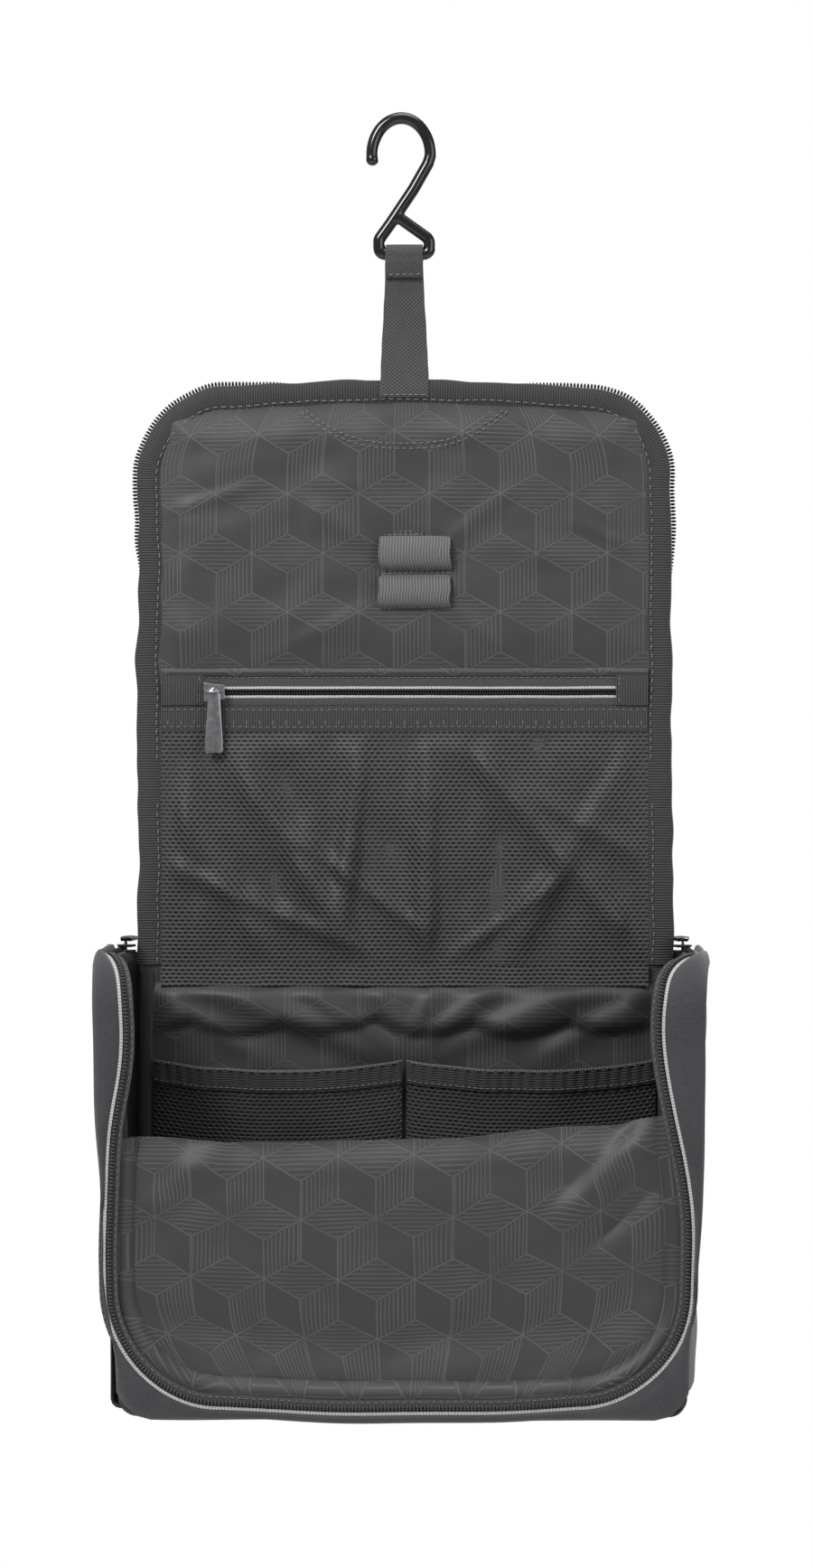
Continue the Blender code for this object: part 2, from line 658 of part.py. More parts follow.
def make_walls(joint, finish):
    """Outer panels, then the lining inside them, each as a left side, a right side and a floor."""
    lining = SHELL_THICKNESS + GAP
    raised = lining + BOARD_THICKNESS + GAP
    inside = (LINING_THICKNESS, lining, raised, LINING_Y - GAP)
    sets = (
        ("side_panel_", "bottom_panel", "shell", (SHELL_THICKNESS, 0, 0, BACK_Y)),
        ("side_lining_", "bottom_lining", "lining", inside),
    )
    for wall, floor, kind, sizes in sets:
        side = wall_rings(side_levels, *sizes)
        piece(wall + "left", loft(side), finish[kind], joint)
        piece(wall + "right", loft(flipped(side)), finish[kind], joint)
        left = wall_rings(floor_levels, *sizes)
        piece(floor, loft(left + flipped(left)[::-1]), finish[kind], joint)
    flat = narrowed(LID_WIDTH / 2 + BOX_MARGIN - BOX_OUTER_CORNER, BACK_Y) - GAP
    z = BOX_BOTTOM_Z + lining
    part = brick((-flat, PANEL_FRONT_Y, z), (flat, SHELL_Y - GAP, z + BOARD_THICKNESS))
    piece("bottom_board", part, finish["board"], joint)


def wall_outline(inset, low_inset, y, top_z):
    """The (x, z) outline of an upright panel that fits between the side walls and on the floor."""
    rows = wall_corner(inset, low_inset, 0, 45) + wall_corner(inset, low_inset, 45, 90)[1:]
    left = [(narrowed(rows[0][0], y), top_z)] + [(narrowed(x, y), z) for x, z, _ in rows]
    return left + [(-x, z) for x, z in reversed(left)]


def make_back(joint, finish):
    """Outer panel, stiffening board and lining between the hinge and the floor."""
    top = HINGE_Z - FOLD_SPACE
    shell = SHELL_THICKNESS + GAP
    board = shell + BOARD_THICKNESS + GAP
    layers = (
        ("back_panel", SHELL_Y, SHELL_THICKNESS, shell, "shell"),
        ("back_board", FOAM_Y, FOAM_THICKNESS, board, "board"),
        ("back_lining", LINING_Y, LINING_THICKNESS, board, "lining"),
    )
    for name, y, thickness, low, kind in layers:
        outline = wall_outline(shell, low, BACK_Y, top)
        piece(name, plate(outline, y, y + thickness), finish[kind], joint)


def make_front_wall(joint, finish):
    """The padded wall in front of the compartment, with a dipped top edge."""
    inset = SHELL_THICKNESS + LINING_THICKNESS + 2 * GAP
    low = inset + BOARD_THICKNESS + GAP
    top = HINGE_Z - FRONT_WALL_TOP
    y = FRONT_Y + FRONT_WALL_RECESS
    layers = (
        ("front_wall_face", LINING_THICKNESS, "lining"),
        ("front_wall_foam", FOAM_THICKNESS, "foam"),
        ("front_wall_inside", LINING_THICKNESS, "lining"),
    )
    outline = wall_outline(inset, low, y, top)
    side = outline[-1][0]
    shares = [1 - i / 6 for i in range(1, 12)]
    dip = [(side * s, top - FRONT_WALL_DIP * (1 - s**2)) for s in shares]
    for name, thickness, kind in layers:
        piece(name, plate(outline + dip, y, y + thickness), finish[kind], joint)
        y += thickness + GAP


def pocket_rings(x0, x1, thickness, low, high):
    """Rings across a pocket's front: it bows off the back lining, and its edges sag."""
    rings, steps = [], 12
    back = LINING_Y - GAP
    for i in range(steps + 1):
        share = 1 - (2 * i / steps - 1) ** 2
        x = x0 + (x1 - x0) * i / steps
        y = back - BOX_POCKET_BULGE * share
        foot, top = low(share), high(share)
        rings.append([(x, y, foot), (x, y - thickness, foot), (x, y - thickness, top), (x, y, top)])
    return rings


def make_box_pockets(joint, finish):
    """Two mesh pockets on the back lining, each with an elastic band along its mouth."""
    floor = BOX_BOTTOM_Z + SHELL_THICKNESS + LINING_THICKNESS + BOARD_THICKNESS + BOX_POCKET_FOOT
    mouth = HINGE_Z - BOX_POCKET_TOP
    seam = mouth - BOX_POCKET_ELASTIC
    half = LID_WIDTH / 2 + BOX_MARGIN - REAR_INSET
    inner, outer = SEAM_TAPE / 4, half - BOX_POCKET_SIDE - SEAM_TAPE
    for name, hand in (("left", -1), ("right", 1)):
        ends = sorted((hand * inner, hand * outer))
        mesh = pocket_rings(
            *ends, MESH_THICKNESS, lambda s: floor, lambda s: seam - GAP - BOX_POCKET_SAG * s
        )
        piece("box_pocket_" + name, loft(mesh), finish["mesh"], joint)
        elastic = pocket_rings(
            *ends,
            ELASTIC_THICKNESS,
            lambda s: seam - BOX_POCKET_SAG * s,
            lambda s: mouth - BOX_POCKET_SAG * s,
        )
        piece("pocket_elastic_" + name, loft(elastic), finish["elastic"], joint)
        tape = sorted((hand * (outer + GAP), hand * (outer + SEAM_TAPE)))
        back = LINING_Y - 2 * GAP
        low = (tape[0], back - TAPE_THICKNESS, BOX_BOTTOM_Z + BOX_OUTER_CORNER)
        high = (tape[1], back, HINGE_Z - 10 * FOLD_SPACE)
        piece("seam_tape_" + name, brick(low, high), finish["binding"], joint)


# ---------------------------------------------------------------- sliders and pulls


def turned(bm, frame, place):
    """Moves a shape drawn along (travel, across, up) to its frame and place in the bag."""
    travel, sideways, up = frame
    for vert in bm.verts:
        u, v, w = vert.co
        vert.co = place + travel * u + sideways * v + up * w
    return bm


def slider_body(inside, half_width, post):
    """Two plates joined by a post, open at both sides for the coils."""
    half = half_width
    outside = inside + SLIDER_PLATE
    section = (
        (-half, -outside), (half, -outside), (half, -inside), (post, -inside),
        (post, inside), (half, inside), (half, outside), (-half, outside),
        (-half, inside), (-post, inside), (-post, -inside), (-half, -inside),
    )
    ends = (-SLIDER_LENGTH / 2, SLIDER_LENGTH / 2)
    return loft([[(u, v, w) for v, w in section] for u in ends])


def slider_bridge(outside, under, width):
    """An arch along the travel, from inside the plate up over the height under."""
    half, leg = BRIDGE_LENGTH / 2, BRIDGE_LEG
    foot = outside - SLIDER_PLATE / 2
    top = under + BRIDGE_THICKNESS
    arch = (
        (-half, foot), (-half + leg, foot), (-half + leg, under), (half - leg, under),
        (half - leg, foot), (half, foot), (half, top - leg / 2), (half - leg / 2, top),
        (-half + leg / 2, top), (-half, top - leg / 2),
    )
    return loft([[(u, v, w) for u, w in arch] for v in (-width / 2, width / 2)])


def tab_plate(narrow):
    """A tapered tab along +travel, from the middle of its end bar."""
    bar, wide = PULL_THICKNESS / 2, PULL_WIDTH / 2
    end = PULL_LENGTH - bar
    soft = wide * 0.5
    side = [(-bar, narrow), (bar + BRIDGE_LENGTH, narrow), (end - soft, wide)]
    side += [(end - soft * 0.3, wide - soft * 0.3), (end, wide - soft)]
    outline = side + [(u, -v) for u, v in reversed(side)]
    return loft([[(u, v, w) for u, v in outline] for w in (-bar, bar)])


def tab_eye():
    """The window that leaves the tab an end bar, with room for the bridge's leg."""
    bar, half = PULL_THICKNESS / 2, BRIDGE_WIDTH / 2 + PULL_PLAY
    far = bar + BRIDGE_LENGTH / 2 + PULL_PLAY
    return brick((bar, -half, -2 * bar), (far, half, 2 * bar))


def cylinder(radius, half_length, sides=14):
    """A cylinder along the across axis."""
    turns = [2 * math.pi * i / sides for i in range(sides)]
    ends = (-half_length, half_length)
    return loft([[(radius * math.cos(t), v, radius * math.sin(t)) for t in turns] for v in ends])


def make_main_slider(name, hand, box_joint, metal):
    """Two plates round the coils, an arch, and a pull whose end bar turns under the arch.

    The pull lies back, towards the lid's hinge, where the lid's own coil doesn't sweep.
    """
    place = Vector((
        hand * (LID_WIDTH / 2 + ZIP_CENTRE),
        AXIS_Y - MAIN_SLIDER_START - SLIDER_LENGTH / 2,
        HINGE_Z + ZIP_HEIGHT,
    ))
    travel, up = Vector((0, -1, 0)), Vector((0, 0, 1))
    frame = (travel, up.cross(travel), up)
    back = (-travel, travel.cross(up), up)
    slide = axis_empty("main_slide_axis_" + name, place, box_joint)
    centre = place + up * (PLATE_OUTSIDE + PULL_THICKNESS * 0.75 + GAP)
    swing = axis_empty("main_pull_axis_" + name, centre, slide)
    slide["finish"] = swing["finish"] = metal
    half = ZIP_CENTRE - LID_COIL_SPACE + SLIDER_SIDE
    body = turned(slider_body(PLATE_INSIDE, half, SLIDER_POST / 2), frame, place)
    slider = piece("main_slider_" + name, body, metal, slide)
    under = PLATE_OUTSIDE + 2 * (PULL_THICKNESS * 0.75 + GAP)
    arch = turned(slider_bridge(PLATE_OUTSIDE, under, BRIDGE_WIDTH), frame, place)
    boolean(slider, helper("main_arch_tool_" + name, arch, slide), "UNION")
    tab = turned(tab_plate(BRIDGE_WIDTH / 2 + PULL_PLAY + PULL_ARM), back, centre)
    pull = piece("main_pull_" + name, tab, metal, swing)
    eye = helper("main_eye_tool_" + name, turned(tab_eye(), back, centre), swing)
    boolean(pull, eye, "DIFFERENCE")


def make_pocket_slider(lid_joint, metal, start):
    """A plate over the closed coils, whose bar carries the pull by a knuckle, hanging down."""
    travel, up = Vector((1, 0, 0)), Vector((0, -1, 0))
    frame = (travel, up.cross(travel), up)
    x = start + POCKET_SLIDER_START + SLIDER_LENGTH / 2
    place = Vector((x, LINING_Y - GAP - COIL_THICKNESS - GAP, POCKET_ZIP_Z))
    slide = axis_empty("pocket_slide_axis", place, lid_joint)
    axis = SLIDER_PLATE + KNUCKLE_RADIUS + GAP
    centre = place + up * axis
    swing = axis_empty("pocket_pull_axis", centre, slide)
    slide["finish"] = swing["finish"] = metal
    side = POCKET_SLIDER_WIDTH / 2
    cap = brick((-SLIDER_LENGTH / 2, -side, 0), (SLIDER_LENGTH / 2, side, SLIDER_PLATE))
    slider = piece("pocket_slider", turned(cap, frame, place), metal, slide)
    under = axis - BRIDGE_THICKNESS / 2
    arch = turned(slider_bridge(SLIDER_PLATE, under, BRIDGE_THICKNESS), frame, place)
    boolean(slider, helper("pocket_arch_tool", arch, slide), "UNION")
    down = (Vector((0, 0, -1)), travel, up)
    tab = tab_plate(BRIDGE_WIDTH / 2)
    bmesh.ops.translate(tab, verts=tab.verts, vec=(KNUCKLE_RADIUS, 0, 0))
    pull = piece("pocket_pull", turned(tab, down, centre), metal, swing)
    half = BRIDGE_LENGTH / 2 - BRIDGE_LEG - PULL_PLAY
    knuckle = turned(cylinder(KNUCKLE_RADIUS, half), down, centre)
    bore = turned(cylinder(KNUCKLE_BORE, 2 * half), down, centre)
    boolean(pull, helper("pocket_knuckle_tool", knuckle, swing), "UNION")
    boolean(pull, helper("pocket_bore_tool", bore, swing), "DIFFERENCE")


# ---------------------------------------------------------------- the bag


def make_finishes():
    return {
        "shell": material("outer_fabric", (0.055, 0.056, 0.06), 0.85),
        "lining": material("lining_fabric", (0.075, 0.077, 0.082), 0.6),
        "foam": material("foam", (0.3, 0.3, 0.31), 0.9),
        "board": material("board", (0.12, 0.12, 0.12), 0.7),
        "binding": material("grosgrain", (0.04, 0.04, 0.042), 0.9),
        "webbing": material("webbing", (0.06, 0.06, 0.064), 0.85),
        "elastic": material("elastic", (0.14, 0.14, 0.15), 0.8),
        "mesh": material("mesh", (0.025, 0.025, 0.027), 0.8),
        "tape": material("zip_tape", (0.07, 0.07, 0.074), 0.85),
        "coil": material("zip_coil", (0.015, 0.015, 0.016), 0.4),
        "metal": material("slider_metal", (0.05, 0.05, 0.055), 0.3, 0.9),
        "plastic": material("hook_plastic", (0.01, 0.01, 0.011), 0.25),
    }


def main():
    clear_scene()
    finish = make_finishes()
    root = axis_empty("hook_saddle", (0, 0, 0))
    make_hook(root, finish["plastic"])
    hook_pivot = axis_empty("hook_pivot_axis", (0, 0, BAR_Z), root)
    make_strap(hook_pivot, finish["webbing"])
    strap_fold = axis_empty("strap_fold_axis", (0, 0, STRAP_FOLD_Z), hook_pivot)
    make_lid_front(strap_fold, finish)
    make_loops(strap_fold, finish["elastic"])
    start = make_pocket_zip(strap_fold, finish)
    make_pocket_slider(strap_fold, finish["metal"], start)
    lid_fold = axis_empty("lid_fold_axis", (0, AXIS_Y, FOLD_Z), strap_fold)
    make_lid_top(lid_fold, finish)
    hinge = axis_empty("lid_hinge_axis", (0, AXIS_Y, HINGE_Z), lid_fold)
    make_back(hinge, finish)
    make_walls(hinge, finish)
    make_front_wall(hinge, finish)
    make_margin_and_zip(hinge, finish)
    make_box_pockets(hinge, finish)
    for name, hand in (("left", -1), ("right", 1)):
        make_main_slider(name, hand, hinge, finish["metal"])


main()
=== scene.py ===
import math

import bpy
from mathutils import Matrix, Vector, noise


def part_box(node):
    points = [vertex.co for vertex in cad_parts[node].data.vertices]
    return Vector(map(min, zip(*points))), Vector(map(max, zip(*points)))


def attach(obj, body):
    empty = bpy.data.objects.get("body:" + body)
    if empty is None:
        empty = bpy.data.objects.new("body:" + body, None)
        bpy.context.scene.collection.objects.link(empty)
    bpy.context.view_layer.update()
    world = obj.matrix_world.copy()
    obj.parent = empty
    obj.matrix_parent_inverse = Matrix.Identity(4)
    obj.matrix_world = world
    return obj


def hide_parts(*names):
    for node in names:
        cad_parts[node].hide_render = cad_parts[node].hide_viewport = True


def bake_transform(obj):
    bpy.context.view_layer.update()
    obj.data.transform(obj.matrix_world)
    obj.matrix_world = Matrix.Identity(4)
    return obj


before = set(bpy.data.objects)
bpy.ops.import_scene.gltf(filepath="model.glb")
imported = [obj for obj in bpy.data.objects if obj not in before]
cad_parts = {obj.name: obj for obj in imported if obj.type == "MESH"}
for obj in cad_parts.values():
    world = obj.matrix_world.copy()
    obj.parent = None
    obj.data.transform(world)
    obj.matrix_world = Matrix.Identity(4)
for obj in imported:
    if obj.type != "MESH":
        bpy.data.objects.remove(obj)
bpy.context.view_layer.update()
print("stage 1: frame loaded,", len(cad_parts), "nodes")

# Levels that more than one piece uses, in metres
level = {
    "lidHalf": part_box("lid_front_binding")[1].x,
    "lidEnd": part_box("lid_front_binding")[1].z,
    "fold": (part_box("lid_front_shell")[0].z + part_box("lid_top_shell")[1].z) / 2,
    "hinge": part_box("lid_top_shell")[0].z - 0.0006,
    "axisY": 0.00075,
    "bandFoot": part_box("pocket_top_band")[0].z,
    "zip": (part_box("pocket_zip_coil_upper")[0].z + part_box("pocket_zip_coil_lower")[1].z) / 2,
    "corner": 0.042,
    "arch": 0.003,
}


ahead = Vector((0, -1, 0))  # out of the lid and the front wall


# ---- small tools

def deselectAll():
    bpy.ops.object.select_all(action="DESELECT")


def fresh(name):
    obj = bpy.context.object
    obj.name = name
    obj.data.name = name
    return obj


def editAll(obj, *steps):
    deselectAll()
    obj.select_set(True)
    bpy.context.view_layer.objects.active = obj
    bpy.ops.object.mode_set(mode="EDIT")
    bpy.ops.mesh.select_all(action="SELECT")
    for step in steps:
        step()
    bpy.ops.object.mode_set(mode="OBJECT")


def mend(obj, gap=0.00002):  # joins doubles, closes the ends and turns every face outwards
    editAll(
        obj,
        lambda: bpy.ops.mesh.remove_doubles(threshold=gap),
        lambda: bpy.ops.mesh.fill_holes(sides=0),
        lambda: bpy.ops.mesh.select_all(action="SELECT"),
        lambda: bpy.ops.mesh.normals_make_consistent(inside=False),
    )


def applied(obj, kind, **settings):
    step = obj.modifiers.new(kind.lower(), kind)
    for key, value in settings.items():
        setattr(step, key, value)
    deselectAll()
    obj.select_set(True)
    bpy.context.view_layer.objects.active = obj
    bpy.ops.object.modifier_apply(modifier=step.name)
    return obj


def finished(obj, body, finish, slot, replaced=(), angle=50):
    deselectAll()
    obj.select_set(True)
    bpy.context.view_layer.objects.active = obj
    bpy.ops.object.shade_smooth_by_angle(angle=math.radians(angle))
    obj.data.materials.clear()
    obj.data.materials.append(finish)
    if isinstance(body, str):
        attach(obj, body)
    else:
        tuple(body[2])
        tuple(body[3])
        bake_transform(obj)
    if replaced:
        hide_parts(*replaced)
    return obj


# a grid whose points go to place(u, v), with its cut size as UV
def clothGrid(name, columns, rows, place, flat):
    deselectAll()
    bpy.ops.mesh.primitive_grid_add(x_subdivisions=columns, y_subdivisions=rows, size=2)
    obj = fresh(name)
    for loop in obj.data.uv_layers[0].data:
        loop.uv = (loop.uv.x * flat[0], loop.uv.y * flat[1])
    for vert in obj.data.vertices:
        vert.co = place((vert.co.x + 1) / 2, (vert.co.y + 1) / 2)
    return obj


def thick(obj, thickness, offset=-1.0):
    return applied(obj, "SOLIDIFY", thickness=thickness, offset=offset, use_even_offset=False)


def lengthOf(points):
    return sum((b - a).length for a, b in zip(points, points[1:]))


def sweep(name, frames, section):  # carries a section of (outward, up) along (point, outward, up)
    count = len(section)
    ring = [Vector((a, b)) for a, b in section]
    points = [f[0] for f in frames]
    steps = [0.0]
    for a, b in zip(points, points[1:]):
        steps.append(steps[-1] + (b - a).length)
    edge = [0.0]
    for a, b in zip(ring, ring[1:] + ring[:1]):
        edge.append(edge[-1] + (b - a).length)

    def place(u, v):
        point, out, up = frames[round(u * (len(frames) - 1))]
        a, b = section[round(v * count) % count]
        return point + out * a + up * b

    obj = clothGrid(name, len(frames) - 1, count, place, (1, 1))
    for loop in obj.data.uv_layers[0].data:
        loop.uv = (steps[round(loop.uv.x * (len(frames) - 1))], edge[round(loop.uv.y * count)])
    mend(obj)
    return obj


# (point, direction) at even steps along a line of points
def spaced(points, pitch, start=0.0, end=0.0):
    total = lengthOf(points) - start - end
    count = max(1, round(total / pitch))
    wanted = [start + total * (i + 0.5) / count for i in range(count)]
    found, run, i = [], 0.0, 0
    for a, b in zip(points, points[1:]):
        span = (b - a).length
        while i < count and wanted[i] <= run + span:
            share = (wanted[i] - run) / max(span, 1e-9)
            found.append((a.lerp(b, share), (b - a).normalized()))
            i += 1
        run += span
    return found


def copies(name, base, places):  # one mesh of many copies; each place is (point, along, side, up)
    verts = [v.co.copy() for v in base.data.vertices]
    faces = [tuple(p.vertices) for p in base.data.polygons]
    allVerts, allFaces = [], []
    for point, along, side, up in places:
        first = len(allVerts)
        allVerts += [point + along * v.x + side * v.y + up * v.z for v in verts]
        allFaces += [tuple(first + i for i in face) for face in faces]
    mesh = bpy.data.meshes.new(name)
    mesh.from_pydata(allVerts, [], allFaces)
    mesh.update()
    obj = bpy.data.objects.new(name, mesh)
    bpy.context.scene.collection.objects.link(obj)
    return obj


def stitchBase(length, width):
    deselectAll()
    bpy.ops.mesh.primitive_uv_sphere_add(segments=6, ring_count=4, radius=1)
    obj = fresh("stitch_base")
    for vert in obj.data.vertices:
        x, y, z = vert.co
        vert.co = Vector((z * length / 2, x * width / 2, y * width / 2 * 0.8))
    return obj


def stitches(
    name, lines, up, length=0.0025, gap=0.0011, width=0.0006, body="lid_front", slot="grosgrain"
):
    base = stitchBase(length, width)
    places = []
    for points in lines:
        for point, along in spaced(points, length + gap):
            facing = up(point) if callable(up) else up
            side = facing.cross(along).normalized()
            tilt = 0.10 * noise.noise(point * 900)
            places.append((point, (along + side * tilt).normalized(), side, facing))
    obj = copies(name, base, places)
    bpy.data.objects.remove(base)
    return finished(obj, body, finish["thread"], slot, angle=80)


def smoothStep(value, low, high):
    t = min(1.0, max(0.0, (value - low) / (high - low)))
    return t * t * (3 - 2 * t)


def bump(value, middle, spread):
    return math.exp(-(((value - middle) / spread) ** 2))


def ridge(x, z, line):  # a soft fold along a straight line: start, end, width and height
    (x0, z0), (x1, z1), width, height = line
    dx, dz = x1 - x0, z1 - z0
    span = math.hypot(dx, dz)
    along = ((x - x0) * dx + (z - z0) * dz) / span**2
    off = ((x - x0) * -dz + (z - z0) * dx) / span
    fade = smoothStep(along, -0.25, 0.2) * (1 - smoothStep(along, 0.8, 1.25))
    return height * fade * math.exp(-((off / width) ** 2))


def ridges(x, z, lines):
    return sum(ridge(x, z, line) for line in lines)


def waver(point, size, amount, seed=0.0):
    return noise.noise(Vector(point) / size + Vector((seed, seed * 0.7, -seed))) * amount


# ---- finishes

def newGroup(name, inputs, outputs):
    tree = bpy.data.node_groups.new(name, "ShaderNodeTree")
    for label, kind, value in inputs:
        socket = tree.interface.new_socket(label, in_out="INPUT", socket_type="NodeSocket" + kind)
        if value is not None:
            socket.default_value = value
    for label, kind in outputs:
        tree.interface.new_socket(label, in_out="OUTPUT", socket_type="NodeSocket" + kind)
    return tree, tree.nodes.new("NodeGroupInput").outputs, tree.nodes.new("NodeGroupOutput").inputs


def wire(tree, value, socket):
    if isinstance(value, bpy.types.NodeSocket):
        tree.links.new(value, socket)
    else:
        socket.default_value = value


def calc(tree, kind, a, b=0.0, c=0.0):
    node = tree.nodes.new("ShaderNodeMath")
    node.operation = kind
    for value, socket in zip((a, b, c), node.inputs):
        wire(tree, value, socket)
    return node.outputs[0]


def mixColour(tree, share, low, high):
    node = tree.nodes.new("ShaderNodeMix")
    node.data_type = "RGBA"
    for value, socket in ((share, node.inputs[0]), (low, node.inputs[6]), (high, node.inputs[7])):
        wire(tree, value, socket)
    return node.outputs[2]


def spread(tree, value, low, high, newLow=0.0, newHigh=1.0):
    node = tree.nodes.new("ShaderNodeMapRange")
    node.interpolation_type = "SMOOTHSTEP"
    for item, socket in zip((value, low, high, newLow, newHigh), node.inputs):
        wire(tree, item, socket)
    return node.outputs[0]


def grain(tree, vector, scale, detail=3.0, stretch=None):
    node = tree.nodes.new("ShaderNodeTexNoise")
    if stretch:
        turn = tree.nodes.new("ShaderNodeMapping")
        turn.inputs["Scale"].default_value = stretch
        tree.links.new(vector, turn.inputs["Vector"])
        vector = turn.outputs[0]
    tree.links.new(vector, node.inputs["Vector"])
    node.inputs["Scale"].default_value = scale
    node.inputs["Detail"].default_value = detail
    return node.outputs["Fac"]


def parts(tree, vector):
    node = tree.nodes.new("ShaderNodeSeparateXYZ")
    tree.links.new(vector, node.inputs[0])
    return node.outputs


def wave(tree, value, pitch):  # 0 to 1 and back once a pitch
    return calc(
        tree, "MULTIPLY_ADD", calc(tree, "SINE", calc(tree, "MULTIPLY", value, 2 * math.pi / pitch)),
        0.5, 0.5
    )


def nearLine(tree, value, pitch, half):  # 1 on lines a pitch apart, 0 between them
    share = calc(tree, "FRACT", calc(tree, "MULTIPLY_ADD", value, 1 / pitch, 0.5))
    off = calc(tree, "ABSOLUTE", calc(tree, "SUBTRACT", share, 0.5))
    return spread(tree, off, half / pitch * 0.6, half / pitch * 1.4, 1.0, 0.0)


def makeWeave():  # threads that cross: a height, and a shade with painted shade between the raised threads, plus random fuzz
    tree, given, out = newGroup(
        "weave",
        [
            ("Vector", "Vector", None), ("Along", "Float", 0.001), ("Across", "Float", 0.001),
            ("Fuzz", "Float", 0.3)
        ],
        [("Height", "Float"), ("Shade", "Float")],
    )
    x, y, _ = parts(tree, given["Vector"])
    warp = calc(
        tree, "SINE", calc(tree, "DIVIDE", calc(tree, "MULTIPLY", x, 2 * math.pi), given["Along"])
    )
    weft = calc(
        tree, "SINE", calc(tree, "DIVIDE", calc(tree, "MULTIPLY", y, 2 * math.pi), given["Across"])
    )
    cross = calc(tree, "MULTIPLY_ADD", calc(tree, "MULTIPLY", warp, weft), 0.5, 0.5)
    hair = grain(tree, given["Vector"], 2600, 2.0)
    patch = grain(tree, given["Vector"], 160, 3.0)
    wire(tree, calc(tree, "MULTIPLY_ADD", hair, given["Fuzz"], cross), out["Height"])
    dark = calc(tree, "MULTIPLY_ADD", cross, 0.35, 0.4)
    wire(tree, calc(tree, "MULTIPLY_ADD", calc(tree, "ADD", hair, patch), 0.25, dark), out["Shade"])
    return tree


def makeRibs():  # ribs side by side along X: a height, and a shade with painted shade in the grooves and painted highlight on the rib tops
    tree, given, out = newGroup(
        "ribs",
        [("Vector", "Vector", None), ("Pitch", "Float", 0.001), ("Fuzz", "Float", 0.3)],
        [("Height", "Float"), ("Shade", "Float")],
    )
    x = parts(tree, given["Vector"])[0]
    turn = calc(tree, "DIVIDE", calc(tree, "MULTIPLY", x, 2 * math.pi), given["Pitch"])
    drift = calc(tree, "MULTIPLY", grain(tree, given["Vector"], 90, 1.0), 2.0)
    rib = calc(tree, "MULTIPLY_ADD", calc(tree, "SINE", calc(tree, "ADD", turn, drift)), 0.5, 0.5)
    hair = grain(tree, given["Vector"], 2200, 2.0)
    wire(tree, calc(tree, "MULTIPLY_ADD", hair, given["Fuzz"], rib), out["Height"])
    wire(
        tree, calc(tree, "MULTIPLY_ADD", hair, 0.35, calc(tree, "MULTIPLY_ADD", rib, 0.55, 0.1)),
        out["Shade"]
    )
    return tree


# cubes of three rhombi: fine outlines, one face hatched across and one hatched upright
def makePrint():
    print_ = {
        "starPitch": 0.034, "rowPitch": 0.028, "line": 0.00028, "hatch": 0.00195, "hatchLine": 0.00022
    }
    tree, given, out = newGroup("cubePrint", [("Vector", "Vector", None)], [("Lines", "Float")])
    x, y, _ = parts(tree, given["Vector"])
    j = calc(tree, "DIVIDE", y, print_["rowPitch"])
    i = calc(
        tree, "SUBTRACT", calc(tree, "DIVIDE", x, print_["starPitch"]), calc(tree, "MULTIPLY", j, 0.5)
    )
    fi, fj = calc(tree, "FRACT", i), calc(tree, "FRACT", j)
    over = calc(tree, "GREATER_THAN", calc(tree, "ADD", fi, fj), 1.0)

    def folded(value):
        other = calc(tree, "SUBTRACT", 1.0, value)
        return calc(
            tree, "ADD", calc(tree, "MULTIPLY", over, calc(tree, "SUBTRACT", other, value)), value
        )

    flat, left = folded(fj), folded(fi)
    right = calc(tree, "ABSOLUTE", calc(tree, "SUBTRACT", calc(tree, "SUBTRACT", 1.0, fi), fj))
    least = calc(tree, "MINIMUM", flat, calc(tree, "MINIMUM", left, right))
    most = calc(tree, "MAXIMUM", flat, calc(tree, "MAXIMUM", left, right))
    middle = calc(tree, "SUBTRACT", calc(tree, "SUBTRACT", 1.0, least), most)
    near = calc(tree, "DIVIDE", calc(tree, "SUBTRACT", middle, least), 60.0)
    outline = spread(tree, near, print_["line"] * 0.6, print_["line"] * 1.5, 1.0, 0.0)
    inside = spread(tree, near, 0.0006, 0.0009)
    isFlat = calc(tree, "LESS_THAN", calc(tree, "SUBTRACT", flat, least), 1e-6)
    isLeft = calc(tree, "LESS_THAN", calc(tree, "SUBTRACT", left, least), 1e-6)
    across = calc(tree, "MULTIPLY", nearLine(tree, y, print_["hatch"], print_["hatchLine"]), isFlat)
    upright = calc(tree, "MULTIPLY", nearLine(tree, x, print_["hatch"], print_["hatchLine"]), isLeft)
    hatch = calc(tree, "MULTIPLY", calc(tree, "MAXIMUM", across, upright), inside)
    worn = spread(tree, grain(tree, given["Vector"], 45, 2.0), 0.3, 0.6, 0.55, 1.0)
    wire(tree, calc(tree, "MULTIPLY", calc(tree, "MAXIMUM", outline, hatch), worn), out["Lines"])
    return tree


